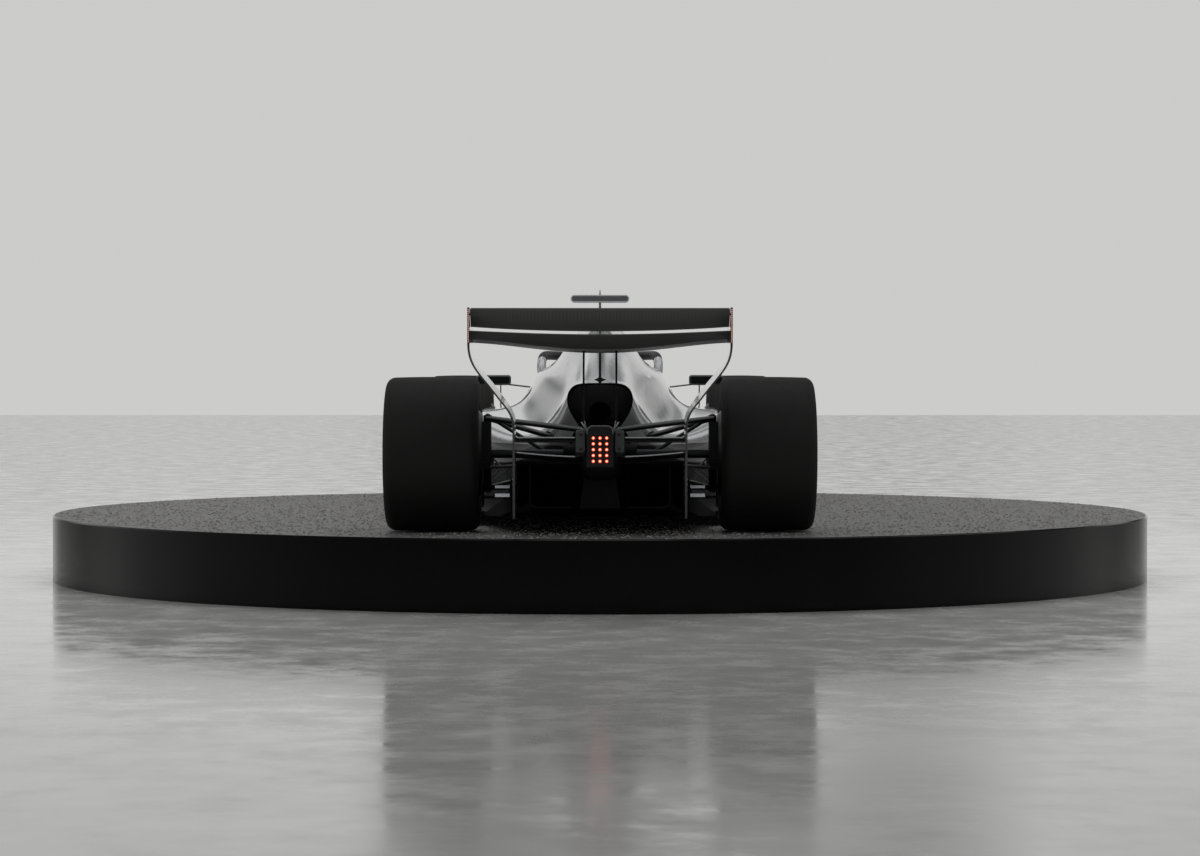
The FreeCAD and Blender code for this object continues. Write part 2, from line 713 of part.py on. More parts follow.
def build_rim(label, side, axle, along):
    """Wheel turned from its section, its face cut into spokes, with a hub and a centre nut."""
    rim = add_body(label)
    half = f"(Sizes.{axle}_tyre_width / 2 - Sizes.sidewall_bulge)"
    wall = "Sizes.bead_radius - Sizes.rim_wall"
    well = "Sizes.bead_radius - Sizes.rim_wall - Sizes.rim_well"
    face = f"({half} - Sizes.spoke_inset)"
    hub_face = f"({face} - Sizes.spoke_dish)"
    section = draw(rim, "rim_section", "XY_Plane", [
        (f"-{half}", "Sizes.bead_radius"),
        (half, "Sizes.bead_radius"),
        (half, wall),
        (face, well),
        (hub_face, "Sizes.hub_radius"),
        (f"{hub_face} + Sizes.nut_length * 0.3", "Sizes.hub_radius * 0.8"),
        (f"{hub_face} + Sizes.nut_length * 0.3", "Sizes.nut_radius"),
        (f"{hub_face} + Sizes.nut_length", "Sizes.nut_radius"),
        (f"{hub_face} + Sizes.nut_length", "0"),
        (f"{hub_face} - Sizes.hub_cap", "0"),
        (f"{hub_face} - Sizes.hub_cap", "Sizes.spindle_radius + Sizes.fit"),
        (f"{hub_face} - Sizes.hub_length", "Sizes.spindle_radius + Sizes.fit"),
        (f"{hub_face} - Sizes.hub_length", "Sizes.hub_radius"),
        (f"{hub_face} - Sizes.spoke_depth", "Sizes.hub_radius"),
        (f"{face} - Sizes.spoke_depth", well),
        (f"-{half} + Sizes.rim_ramp", well),
        (f"-{half}", wall),
    ])
    revolve(rim, "rim_turned", section, "H_Axis")
    window = draw(rim, "spoke_window", "YZ_Plane", [
        ("-Sizes.window_inner_half", "Sizes.hub_radius + Sizes.window_margin"),
        ("Sizes.window_inner_half", "Sizes.hub_radius + Sizes.window_margin"),
        ("Sizes.window_outer_half", f"{well} - Sizes.window_margin"),
        ("-Sizes.window_outer_half", f"{well} - Sizes.window_margin"),
    ])
    cut = rim.newObject("PartDesign::Pocket", "spoke_gap")
    cut.Profile = window
    cut.Type = "ThroughAll"
    cut.Midplane = True
    spokes = rim.newObject("PartDesign::PolarPattern", "spokes")
    spokes.Originals = [cut]
    spokes.Axis = ([item for item in rim.Origin.OriginFeatures if item.Role == "X_Axis"][0], [""])
    spokes.Angle = 360
    spokes.setExpression("Occurrences", "Sizes.spoke_count")
    rim.Tip = spokes
    set_wheel(rim, side, axle, along)


def build_drum(label, side, axle, along, bore):
    """Brake drum, hub carrier and spindle that the wheel turns on."""
    drum = add_body(label)
    half = f"(Sizes.{axle}_tyre_width / 2)"
    radius = "(Sizes.bead_radius - Sizes.rim_wall - Sizes.rim_well - Sizes.running_gap)"
    inner = f"-({half} + Sizes.drum_inboard)"
    hub_face = f"({half} - Sizes.sidewall_bulge - Sizes.spoke_inset - Sizes.spoke_dish)"
    outer = f"({hub_face} - Sizes.hub_length - Sizes.running_gap)"
    tip = f"({hub_face} - Sizes.hub_cap - Sizes.fit)"
    section = draw(drum, "drum_section", "XY_Plane", [
        (inner, bore),
        (inner, f"{radius} - Sizes.drum_bevel"),
        (f"{inner} + Sizes.drum_bevel", radius),
        (outer, radius),
        (outer, f"{radius} - Sizes.drum_wall"),
        (f"{outer} - Sizes.drum_recess", f"{radius} - Sizes.drum_wall"),
        (f"{outer} - Sizes.drum_recess", "Sizes.hub_radius"),
        (outer, "Sizes.hub_radius"),
        (outer, "Sizes.spindle_radius"),
        (tip, "Sizes.spindle_radius"),
        (tip, bore),
    ])
    revolve(drum, "drum_turned", section, "H_Axis")
    set_wheel(drum, side, axle, along)


def build_wheels():
    """Four tyres on their rims, with the brake drums inside them."""
    for side in SIDES:
        name = SIDE_NAMES[side]
        build_tyre(f"rear_tyre_{name}", side, "rear", "0")
        build_rim(f"rear_rim_{name}", side, "rear", "0")
        build_drum(f"rear_drum_{name}", side, "rear", "0", "Sizes.driveshaft_radius + 2 * Sizes.fit")
        build_tyre(f"front_tyre_{name}", side, "front", "Sizes.wheelbase")
        build_rim(f"front_rim_{name}", side, "front", "Sizes.wheelbase")
        build_drum(f"front_drum_{name}", side, "front", "Sizes.wheelbase", "0")
        build_driveshaft(f"driveshaft_{name}", side)


def build_driveshaft(label, side):
    """Shaft from the gearbox flange through the hollow spindle to the wheel's hub."""
    shaft = doc.addObject("Part::Cylinder", label)
    shaft.Label = label
    hub_face = ("Sizes.rear_overall_width / 2 - Sizes.sidewall_bulge"
                " - Sizes.spoke_inset - Sizes.spoke_dish - Sizes.hub_cap")
    start = "(Sizes.flange_reach + Sizes.fit)"
    shaft.setExpression("Radius", "Sizes.driveshaft_radius")
    shaft.setExpression("Height", f"{hub_face} - {start}")
    shaft.Placement = Placement(Vector(), Rotation(Vector(0, 1, 0), 90 * side))
    place(shaft, start if side > 0 else f"-{start}", "0", "Sizes.tyre_radius")
    pieces.append(shaft)


# Survival cell, nose and gearbox


def cockpit_plan(margin, low, high):
    """Upright solid with the cockpit opening's outline in plan, shrunk by a margin."""
    front = mm("cockpit_front") - margin
    back = mm("cockpit_back") + margin
    narrow = mm("cockpit_front_half") - margin
    wide = mm("cockpit_back_half") - margin
    middle = (front + back) / 2
    right = [(0, front, low), (narrow * 0.9, front, low), (narrow, front - 80, low),
             (wide, middle + 60, low), (wide, back + 90, low), (wide * 0.95, back, low), (0, back, low)]
    left = [(-across, along, up) for across, along, up in reversed(right)]
    outline = Part.Wire([smooth(right), smooth(left)])
    return Part.Face(outline).extrude(Vector(0, 0, high - low))


def rod_windows():
    """Holes in the cell's sides that the track rods pass through."""
    at = mm("wheelbase") - mm("steer_arm_reach")
    up = HUB + mm("track_rod_rise")
    reach = mm("tub_legs_side") + 60
    return rod((-reach, at, up), (reach, at, up), mm("rod_window"))


def build_tub(outer):
    """Survival cell: one smooth hull, hollow, open at the cockpit."""
    hollow = hull(list(TUB), mm("tub_wall"), first=mm("cockpit_back") - 20, last=mm("tub_nose_at") - 60)
    opening = cockpit_plan(0, mm("tub_dash_mid"), mm("halo_top"))
    tub = outer.cut(hollow).cut(opening).cut(rod_windows())
    keep("survival_cell", tub)
    return hollow


def build_nose():
    """Nose cone bolted to the front of the cell."""
    nose = hull(list(NOSE), first=mm("nose_root_at") + mm("fit"))
    keep("nose_cone", nose)
    return nose


def build_gearbox(outer):
    """Gearbox case running back into the crash structure, with an output flange on each side."""
    reach = mm("flange_reach")
    flanges = rod((-reach, 0, HUB), (reach, 0, HUB), mm("flange_radius"))
    case = outer.fuse(flanges)
    keep("gearbox_case", case)
    return case


def build_power_unit():
    """Engine between the cell and the gearbox, as one plain block."""
    engine = doc.addObject("Part::Box", "power_unit")
    engine.Label = "power_unit"
    engine.setExpression("Length", "2 * Sizes.engine_half")
    engine.setExpression("Width", "Sizes.tub_back_at - Sizes.box_front_at - 2 * Sizes.fit")
    engine.setExpression("Height", "Sizes.engine_height")
    place(engine, "-Sizes.engine_half", "Sizes.box_front_at + Sizes.fit",
          "Sizes.floor_bottom + Sizes.floor_thickness + Sizes.skin + 2")
    pieces.append(engine)


# Bodywork


def skin_loft(table, inset, first=None, last=None, drop=0.0):
    """Solid through the stations of a bodywork table."""
    rings = []
    for station in table:
        at = mm(f"{station}_at")
        if station == list(table)[0] and first is not None:
            at = first
        if station == list(table)[-1] and last is not None:
            at = last
        rings.append(ring(at, skin_half(station, inset, drop)))
    return Part.makeLoft(rings, True, False)


def cell_window():
    """Room where the cell's back meets the bodywork's front wall."""
    back = ring(mm("tub_back_at") + mm("fit"), hull_half("tub_back", -mm("tub_gap")))
    return Part.Face(back).extrude(Vector(0, -60, 0))


def below_floor_top():
    """Everything below the bodywork's seat on the floor."""
    reach = mm("floor_half")
    up = mm("floor_bottom") + mm("floor_thickness") + mm("fit")
    return block((-reach, mm("floor_end"), -reach), (reach, mm("tub_nose_at"), up))


def oval(at, up, half, rise):
    """Upright oval across the car."""
    wire = Part.Wire(Part.Ellipse(Vector(0, 0, 0), half, rise).toShape())
    wire.Placement = Placement(Vector(0, at, up), Rotation(Vector(1, 0, 0), 90))
    return wire


def intake_collar():
    """Oval collar round the airbox mouth, its front lip rounded."""
    skin = mm("skin")
    front = mm("cover_mouth_at") + mm("collar_reach")
    face = Part.Face(oval(front, mm("mouth_height"), mm("mouth_half") + skin, mm("mouth_rise") + skin))
    collar = face.extrude(Vector(0, -mm("collar_reach") - skin / 2, 0))
    lip = [edge for edge in collar.Edges if abs(edge.BoundBox.YMin - front) < 0.01
           and abs(edge.BoundBox.YMax - front) < 0.01]
    return collar.makeFillet(mm("collar_lip"), lip)


def roll_hoop_fairing():
    """Ramp that rises from the cell's roof to the airbox mouth."""
    root = oval(mm("cover_mouth_at") - mm("skin") / 2, mm("fairing_root_up"), mm("fairing_root_half"),
                mm("fairing_root_rise"))
    tip = oval(mm("fairing_front"), mm("fairing_up"), mm("fairing_half"), mm("fairing_rise"))
    return Part.makeLoft([root, tip], True, True)


def build_cover(gearbox_room, tub_room, arms):
    """Engine cover: thin skin with the airbox mouth in front and the hot air exit behind."""
    skin = mm("skin")
    outer = skin_loft(COVER, 0)
    hollow = skin_loft(COVER, skin, first=mm("cover_mouth_at") - skin, last=mm("cover_exit_at") - skin,
                       drop=skin)
    mouth_face = Part.Face(oval(mm("fairing_front"), mm("mouth_height"), mm("mouth_half"), mm("mouth_rise")))
    mouth = mouth_face.extrude(Vector(0, mm("cover_mouth_at") - mm("fairing_front") - 10 * skin, 0))
    cover = outer.cut(hollow).fuse(intake_collar()).fuse(roll_hoop_fairing()).cut(mouth)
    cover = cover.cut(cell_window()).cut(tub_room).cut(below_floor_top()).cut(gearbox_room)
    for arm in arms:
        cover = cover.cut(arm)
    keep("engine_cover", biggest(cover))


def biggest(shape):
    """The largest solid of a shape, without the crumbs that a cut may leave."""
    return max(shape.Solids, key=lambda solid: solid.Volume)


def build_pods(tub_room):
    """Sidepods either side of the cell, undercut below and open at their inlets."""
    skin = mm("skin")
    back = mm("tub_back_at") + mm("fit")
    outer = skin_loft(POD, 0, last=back)
    hollow = skin_loft(POD, skin, first=mm("pod_lip_at") + 5, last=back + skin)
    shell = outer.cut(hollow).cut(tub_room).cut(below_floor_top())
    right = biggest(shell.common(block((0, 0, 0), (1000, 4000, 1000))))
    keep("sidepods", both_sides(right))


def build_fin():
    """Shark fin along the spine, ending in a small four-pointed fairing behind the bodywork's lip."""
    half = mm("fin_thickness") / 2
    end = mm("star_end")
    lip = mm("cover_exit_at") - mm("fit")
    up = mm("star_up")
    fin = plate(line_points("fin_view"), -half, half).cut(skin_loft(COVER, -mm("fit")))
    points = []
    for quarter in range(4):
        angle = math.radians(90 * quarter)
        reach = mm("star_rise") if quarter % 2 else mm("star_half")
        points.append(Vector(reach * math.cos(angle), end, up + reach * math.sin(angle)))
        angle += math.radians(45)
        waist = mm("star_waist")
        points.append(Vector(waist * math.cos(angle), end, up + waist * math.sin(angle)))
    star = Part.Face(Part.makePolygon(points + [points[0]])).extrude(Vector(0, lip - end, 0))
    keep("shark_fin", biggest(fin.fuse(star)))


# Floor


def inlet_lip(drop=0.0):
    """Raised front edge of the floor over the right tunnel's inlet, curving up and forwards."""
    bend = mm("floor_bend")
    low = mm("floor_bottom") - drop
    thick = mm("lip_thickness")
    front = mm("lip_front")
    rise = mm("lip_rise")
    reach = front - bend
    under = [(bend, low), (bend + reach * 0.4, low), (bend + reach * 0.65, low + rise * 0.5),
             (front, low + rise)]
    over = [(front, low + rise + thick), (bend + reach * 0.62, low + rise * 0.5 + 2 * thick),
            (bend + reach * 0.38, low + mm("floor_thickness")), (bend, low + mm("floor_thickness"))]
    inner = mm("lip_inner")
    edges = [smooth([(inner, along, up) for along, up in line]) for line in (under, over)]
    edges.insert(1, Part.makeLine(Vector(inner, *under[-1]), Vector(inner, *over[0])))
    edges.append(Part.makeLine(Vector(inner, *over[-1]), Vector(inner, *under[0])))
    return Part.Face(Part.Wire(edges)).extrude(Vector(mm("lip_outer") - inner, 0, 0))


def build_floor():
    """Flat floor, its front edge raised over the tunnels' inlets, cut in ahead of the rear tyres."""
    low = mm("floor_bottom")
    right = [Vector(across, along, low) for across, along in line_points("floor_plan")]
    left = [Vector(-point.x, point.y, low) for point in reversed(right[1:-1])]
    points = right + left
    face = Part.Face(Part.makePolygon(points + [points[0]]))
    flat = face.extrude(Vector(0, 0, mm("floor_thickness")))
    corners = [edge for edge in flat.Edges if is_upright(edge) and abs(edge.Vertexes[0].X) > mm("lip_outer")]
    flat = flat.makeFillet(mm("floor_corner"), corners)
    keep("floor", biggest(flat.fuse(both_sides(inlet_lip()))))
    half = mm("plank_half")
    plank = block((-half, mm("floor_end"), low - mm("plank_thickness")), (half, mm("plank_front"), low))
    keep("plank", plank)


def is_upright(edge):
    """True for an edge that runs straight up."""
    first, last = (vertex.Point for vertex in edge.Vertexes)
    return abs(first.x - last.x) < 0.01 and abs(first.y - last.y) < 0.01


def build_fences():
    """Turning vanes under the floor's raised front edge, at the tunnels' inlets."""
    bend = mm("floor_bend") + mm("fit")
    low = mm("floor_bottom")
    top = low + mm("lip_rise") + 2 * mm("lip_thickness")
    above = inlet_lip(mm("fit"))
    vanes = []
    for index in range(3):
        across = mm("fence_first") + mm("fence_pitch") * index
        front = mm("lip_front") - 40 * index
        outline = [(bend, low), (front - 60, low), (front, low + 40), (front - 10, top), (bend, top)]
        vane = plate(outline, across, across + mm("fence_thickness")).cut(above)
        vanes.append(min(vane.Solids, key=lambda solid: solid.CenterOfMass.z))
    keep("floor_fences", both_sides(Part.makeCompound(vanes)))


def build_diffuser(case_room, arms):
    """Diffuser: a rising roof with side panels, two tunnels with rounded lower corners, a flared keel."""
    wall = mm("skin")
    thin = mm("tunnel_wall")
    rows = [{field: mm(f"{station}_{field}") for field in fields} for station, fields in DIFFUSER.items()]
    roof = [box_ring(row["at"], -row["half"], row["half"], row["top"] - wall, row["top"]) for row in rows]
    panel = [box_ring(row["at"], row["half"] - thin, row["half"], row["foot"], row["top"] - 1)
             for row in rows]
    curved = [tunnel_ring(row["at"], row["tunnel"], row["tunnel_foot"], row["top"] - 1)
              for row in rows[1:]]
    keel = []
    for row in rows:
        foot = [Vector(side * row["keel_foot"], row["at"], row["tunnel_foot"]) for side in SIDES]
        head = [Vector(-side * row["keel"], row["at"], row["top"] - 1) for side in SIDES]
        keel.append(Part.makePolygon(foot + head + [foot[0]]))
    body = Part.makeLoft(roof, True, True)
    for rings in (panel, curved):
        body = body.fuse(both_sides(Part.makeLoft(rings, True, True)))
    body = body.fuse(Part.makeLoft(keel, True, True))
    for arm in arms:
        body = body.cut(arm)
    keep("diffuser", biggest(body.cut(case_room)))


def tunnel_ring(at, half, low, high):
    """Section of a tunnel's outer wall, its foot rolled inwards into a narrow lip."""
    corner = mm("tunnel_round")
    lip = mm("tunnel_lip")
    thin = mm("tunnel_wall")
    outside = [(half, high), (half, low + corner), (half - corner * 0.3, low + corner * 0.3),
               (half - corner, low), (half - corner - lip, low)]
    inside = [(half - corner - lip, low + thin), (half - corner - thin * 0.4, low + thin),
              (half - corner * 0.3 - thin * 0.7, low + corner * 0.3 + thin * 0.7),
              (half - thin, low + corner + thin * 0.4), (half - thin, high)]
    points = [Vector(across, at, up) for across, up in outside + inside]
    return Part.makePolygon(points + [points[0]])


def box_ring(at, side_from, side_to, low, high):
    """Four-cornered section across the car."""
    points = [Vector(side_from, at, low), Vector(side_to, at, low), Vector(side_to, at, high),
              Vector(side_from, at, high)]
    return Part.makePolygon(points + [points[0]])


# Suspension


def wishbone(ball, roots, chord, thickness, bore=0.0):
    """Two arms from an outer joint to the chassis."""
    radius = mm("ball_radius")
    height = mm("ball_height")
    boss = Part.makeCylinder(radius, height, Vector(ball[0], ball[1], ball[2] - height / 2))
    shape = boss
    for root in roots:
        shape = shape.fuse(strut(ball, root, chord, thickness))
    past = block((ball[0] + radius, ball[1] - chord, ball[2] - chord),
                 (ball[0] + 2 * chord, ball[1] + chord, ball[2] + chord))
    shape = shape.cut(past)
    if bore:
        hole = Part.makeCylinder(bore, height * 2, Vector(ball[0], ball[1], ball[2] - height))
        shape = shape.cut(hole)
    return shape


def outermost(shape):
    """The piece of a cut shape that lies furthest from the car's middle."""
    return max(shape.Solids, key=lambda solid: solid.BoundBox.XMax)


def build_front_suspension(tub):
    """Upper and lower wishbones and pushrods of the front axle."""
    at = mm("wheelbase")
    bore = mm("kingpin_pin") + mm("fit")
    upper_at = HUB + mm("front_upper_rise")
    lower_at = HUB - mm("front_lower_drop")
    spread = mm("front_leg_spread")
    section = (mm("arm_chord"), mm("arm_thickness"))
    upper = wishbone((KINGPIN, at, upper_at), [(100, at + 110, upper_at + 20),
                                               (100, at - spread, upper_at + 20)], *section, bore)
    lower = wishbone((KINGPIN, at, lower_at), [(60, at + 110, lower_at + 110),
                                               (60, at - spread, lower_at + 90)], *section, bore)
    upper = outermost(upper.cut(tub))
    lower = outermost(lower.cut(tub))
    foot = (KINGPIN - 80, at, lower_at + 25)
    rod_shape = strut(foot, (60, at, upper_at + 60), 36, 20).cut(tub).cut(lower)
    keep("front_upper_wishbones", both_sides(upper))
    keep("front_lower_wishbones", both_sides(lower))
    keep("front_pushrods", both_sides(outermost(rod_shape)))


def build_front_uprights():
    """Upright, kingpins and steering arm that turn with each front wheel."""
    at = mm("wheelbase")
    half_ball = mm("ball_height") / 2 + mm("fit")
    top = HUB + mm("front_upper_rise") - half_ball
    bottom = HUB - mm("front_lower_drop") + half_ball
    lug = mm("lug_height")
    face = FRONT_INNER - mm("drum_inboard")
    outline = [(at - 46, bottom + lug), (at + 46, bottom + lug), (at + 70, HUB), (at + 46, top - lug),
               (at - 46, top - lug), (at - 70, HUB)]
    bracket = plate(outline, KINGPIN - 14, face)
    for low, high in ((bottom, bottom + lug), (top - lug, top)):
        bracket = bracket.fuse(Part.makeCylinder(mm("ball_radius"), high - low, Vector(KINGPIN, at, low)))
    pin = Part.makeCylinder(mm("kingpin_pin"), top - bottom + 2 * mm("ball_height"),
                            Vector(KINGPIN, at, bottom - mm("ball_height")))
    bracket = bracket.fuse(pin)
    arm_at = at - mm("steer_arm_reach")
    arm_low = HUB + mm("track_rod_rise") + mm("eye_height") / 2 + 1
    arm = block((KINGPIN - 12, arm_at - 14, arm_low), (KINGPIN + 12, at, arm_low + 14))
    peg = Part.makeCylinder(mm("peg_radius"), mm("eye_height") + 4,
                            Vector(KINGPIN, arm_at, arm_low - mm("eye_height") - 4))
    bracket = bracket.fuse(arm).fuse(peg)
    for side in SIDES:
        keep(f"front_upright_{SIDE_NAMES[side]}", flipped(bracket, side))


def build_rack(tub_hollow):
    """Steering rack with its track rods, and the case that it slides in."""
    at = mm("wheelbase") - mm("steer_arm_reach")
    up = HUB + mm("track_rod_rise")
    half = mm("rack_length") / 2
    rack = rod((-half, at, up), (half, at, up), mm("rack_radius") - mm("fit"))
    eye_radius = mm("peg_radius") + mm("running_gap") + 7
    for side in SIDES:
        bar = rod((side * (half - 5), at, up), (side * (KINGPIN - eye_radius + 3), at, up),
                  mm("track_rod_radius"))
        eye = Part.makeCylinder(eye_radius, mm("eye_height"),
                                Vector(side * KINGPIN, at, up - mm("eye_height") / 2))
        hole = Part.makeCylinder(mm("peg_radius") + mm("running_gap"), mm("eye_height") * 2,
                                 Vector(side * KINGPIN, at, up - mm("eye_height")))
        rack = rack.fuse(bar).fuse(eye).cut(hole)
    keep("steering_rack", rack)
    outer = mm("rack_radius") + mm("rack_case_wall")
    length = 2 * mm("rack_case_half")
    case = rod((-length / 2, at, up), (length / 2, at, up), outer)
    legs = block((-60, at - 16, 0), (60, at + 16, up))
    case = case.fuse(legs).common(tub_hollow)
    case = case.cut(rod((-400, at, up), (400, at, up), mm("rack_radius")))
    keep("rack_case", biggest(case))


def build_rear_suspension(case):
    """Wishbones, pullrods, toe links and uprights of the rear axle."""
    joint = REAR_INNER - mm("drum_inboard") - mm("rear_ball_inset")
    upper_at = HUB + mm("rear_upper_rise")
    lower_at = HUB - mm("rear_lower_drop")
    upper_roots = line_points("rear_upper_roots")
    lower_roots = line_points("rear_lower_roots")
    pull_root, toe_root = line_points("rear_rod_roots")
    pull_foot = (joint - 50, 26, upper_at - 20)
    thick = (mm("rear_arm_chord"), mm("rear_arm_thickness"))
    thin = (mm("arm_chord"), mm("arm_thickness"))
    upper = outermost(wishbone((joint, 0, upper_at), upper_roots, *thick).cut(case))
    lower = outermost(wishbone((joint, 0, lower_at), lower_roots, *thin).cut(case))
    pull = strut(pull_foot, pull_root, 30, 18).cut(case).cut(upper).cut(lower)
    toe = strut((joint + 10, -130, HUB - 60), toe_root, 34, 16).cut(case)
    keep("rear_upper_wishbones", both_sides(upper))
    keep("rear_lower_wishbones", both_sides(lower))
    keep("rear_pullrods", both_sides(Part.makeCompound([outermost(pull), outermost(toe)])))
    bracket = rear_upright(joint, lower_at, upper_at).cut(toe).cut(pull)
    for root in upper_roots:
        bracket = bracket.cut(strut((joint, 0, upper_at), root, thick[0] + 1, thick[1] + 1))
    keep("rear_uprights", both_sides(biggest(bracket)))
    room = [strut(pull_foot, pull_root, 44, 32)]
    more = mm("arm_room")
    for roots, up, (chord, thickness) in ((upper_roots, upper_at, thick), (lower_roots, lower_at, thin)):
        for root in roots:
            room.append(strut((joint, 0, up), root, chord + more, thickness + more))
    return [flipped(shape, side) for shape in room for side in SIDES]


def rear_upright(joint, lower_at, upper_at):
    """Rear upright with the brake duct's two winglets and their end plates behind it."""
    face = REAR_INNER - mm("drum_inboard")
    half_ball = mm("ball_height") / 2
    outline = [(-150, HUB - 70), (-50, lower_at + half_ball), (50, lower_at + half_ball),
               (70, HUB), (50, upper_at - half_ball), (-50, upper_at - half_ball), (-150, HUB - 40)]
    bracket = plate(outline, joint - 16, face)
    bracket = bracket.cut(rod((0, 0, HUB), (1000, 0, HUB), mm("driveshaft_radius") + 8))
    front = mm("winglet_front")
    back = mm("winglet_back")
    low = mm("winglet_low")
    inner = mm("winglet_inner")
    outer_end = face - 10
    end_plate = [(front, low - 50), (front, HUB - 60), (-140, HUB - 45), (back, low + 60), (back, low - 50)]
    bracket = bracket.fuse(plate(end_plate, outer_end, outer_end + 5))
    inner_plate = [(front - 10, low - 70), (front - 10, low + 70), (back, low + 80), (back, low - 90)]
    bracket = bracket.fuse(plate(inner_plate, inner - 4, inner + 1))
    for up in (low, mm("winglet_high")):
        blade = wing([(inner, (front - 8, up - 12), (back + 8, up), 8, 6),
                      (outer_end + 2, (front - 8, up - 12), (back + 8, up), 8, 6)])
        bracket = bracket.fuse(blade)
    return bracket


# Front wing


def build_front_wing(nose):
    """Swept mainplane, three flaps a side and the endplates."""
    half = mm("front_wing_half")
    tip = half - mm("endplate_thickness")
    keep("front_wing_mainplane", biggest(whole_wing("front_main", tip).cut(nose)))
    flaps = []
    for name in ("front_flap_low", "front_flap_mid", "front_flap_high"):
        flaps.append(outermost(wing(wing_sections(name, tip)).cut(nose)))
    keep("front_wing_flaps", both_sides(Part.makeCompound(flaps)))
    keep("front_wing_endplates", both_sides(plate(line_points("front_endplate_view"), tip, half)))


# Rear wing


def endplate_strip(along, roll):
    """Endplate's section across the car: upright, rolled inwards below the wing, upright again."""
    thick = mm("endplate_thickness")
    half = mm("wing_half")
    low_half = mm("endplate_lower_half")
    start = 868
    stop = 490
    line = [(half, start), (half, 815), (half - 26 - roll / 2, 755), (half - 72 - roll, 695),
            (low_half + 59 - roll, 602), (low_half + 6 - roll / 2, 545), (low_half, stop)]
    top = mm("wing_top") + mm("endplate_rise")
    bottom = mm("endplate_bottom")
    outer = smooth([(across, along, up) for across, up in line])
    inner = smooth([(across - thick, along, up) for across, up in reversed(line)])
    upper = [(half - thick, start), (half - thick, top), (half, top), (half, start)]
    lower = [(low_half, stop), (low_half, bottom), (low_half - thick, bottom), (low_half - thick, stop)]
    above = Part.makePolygon([Vector(across, along, up) for across, up in upper]).Edges
    below = Part.makePolygon([Vector(across, along, up) for across, up in lower]).Edges
    return Part.Wire(above + [outer] + below + [inner])


def build_rear_wing(case):
    """Rear wing: endplates, mainplane, moving flap, beam wing, pylons and edge lights."""
    rear = mm("wing_rear")
    thick = mm("endplate_thickness")
    half = mm("wing_half") - thick
    top = mm("wing_top")
    hinge = Vector(0, rear + mm("hinge_ahead"), top - mm("hinge_below"))
    depth = mm("endplate_depth")
    sheet_solid = Part.makeLoft([endplate_strip(rear, 0), endplate_strip(rear + depth, mm("endplate_roll"))],
                                True, True)
    endplate = sheet_solid.common(plate(line_points("rear_endplate_view"), 0, mm("floor_half")))
    bore = rod((half - 1, hinge.y, hinge.z), (half + 5 + mm("fit"), hinge.y, hinge.z),
               mm("hinge_radius") + mm("fit"))
    endplate = endplate.cut(bore)
    keep("rear_wing_endplates", both_sides(biggest(endplate)))
    mainplane = whole_wing("rear_main", half)
    keep("rear_wing_mainplane", biggest(mainplane))
    flap_half = half - mm("running_gap")
    flap_solid = whole_wing("rear_flap", flap_half)
    for side in SIDES:
        pin = rod((side * (flap_half - 20), hinge.y, hinge.z), (side * (half + 5), hinge.y, hinge.z),
                  mm("hinge_radius"))
        flap_solid = flap_solid.fuse(pin)
    keep("rear_wing_flap", flap_solid)
    beams = []
    low_half = mm("endplate_lower_half") - thick
    for name in ("beam_high", "beam_low"):
        beams.append(outermost(whole_wing(name, low_half).cut(case)))
    keep("beam_wing", both_sides(Part.makeCompound(beams)))
    pylon_from = mm("pylon_half") - mm("pylon_thickness") / 2
    pylon = plate(line_points("pylon_view"), pylon_from, pylon_from + mm("pylon_thickness"))
    keep("wing_pylons", both_sides(biggest(pylon.cut(case).cut(mainplane))))
    light = block((half + 1, rear - 6, 866), (half + thick - 1, rear, top + 2))
    keep("endplate_lights", both_sides(light))


# Rear light


def build_rear_light():
    """Rear rain light: a rounded block on the crash structure, with a field of round lenses."""
    lamp = add_body("rear_light")
    outline = draw(lamp, "lamp_outline", "XZ_Plane", [
        ("-Sizes.light_half", "Sizes.light_bottom"),
        ("Sizes.light_half", "Sizes.light_bottom"),
        ("Sizes.light_half", "Sizes.light_top - Sizes.light_corner", "Sizes.light_corner", 1),
        ("Sizes.light_half - Sizes.light_corner", "Sizes.light_top"),
        ("-Sizes.light_half + Sizes.light_corner", "Sizes.light_top", "Sizes.light_corner", 1),
        ("-Sizes.light_half", "Sizes.light_top - Sizes.light_corner"),
    ])
    pad(lamp, "lamp_block", outline, "Sizes.light_depth")
    place(lamp, "0", "Sizes.box_tail_at - Sizes.fit", "0")
    lenses = []
    back = mm("box_tail_at") - mm("fit") - mm("light_depth")
    for column in (-1, 0, 1):
        for row in range(5):
            across = column * mm("lens_pitch_across")
            up = mm("lens_lowest") + row * mm("lens_pitch_up")
            lenses.append(rod((across, back, up), (across, back - mm("lens_height"), up), mm("lens_radius")))
    keep("rear_light_lenses", Part.makeCompound(lenses))


# Cockpit and upper fittings


def build_halo(tub):
    """Head protection hoop with its centre pillar."""
    points = [Vector(*point) for point in line_points("halo_line")]
    points += [Vector(-point.x, point.y, point.z) for point in reversed(points[:-1])]
    curve = Part.BSplineCurve()
    curve.buildFromPoles(points, False, 3)
    path = Part.Wire([curve.toShape()])
    start = curve.value(curve.FirstParameter)
    along = curve.tangent(curve.FirstParameter)[0]
    circle = Part.Wire([Part.makeCircle(mm("halo_tube"), start, along)])
    hoop = path.makePipeShell([circle], True, True)
    pillar = strut(*line_points("halo_pillar"), 62, 22)
    room = skin_loft(POD, -mm("tub_gap"))
    halo = hoop.fuse(pillar).cut(tub).cut(room).cut(skin_loft(COVER, 0))
    keep("halo", biggest(halo))


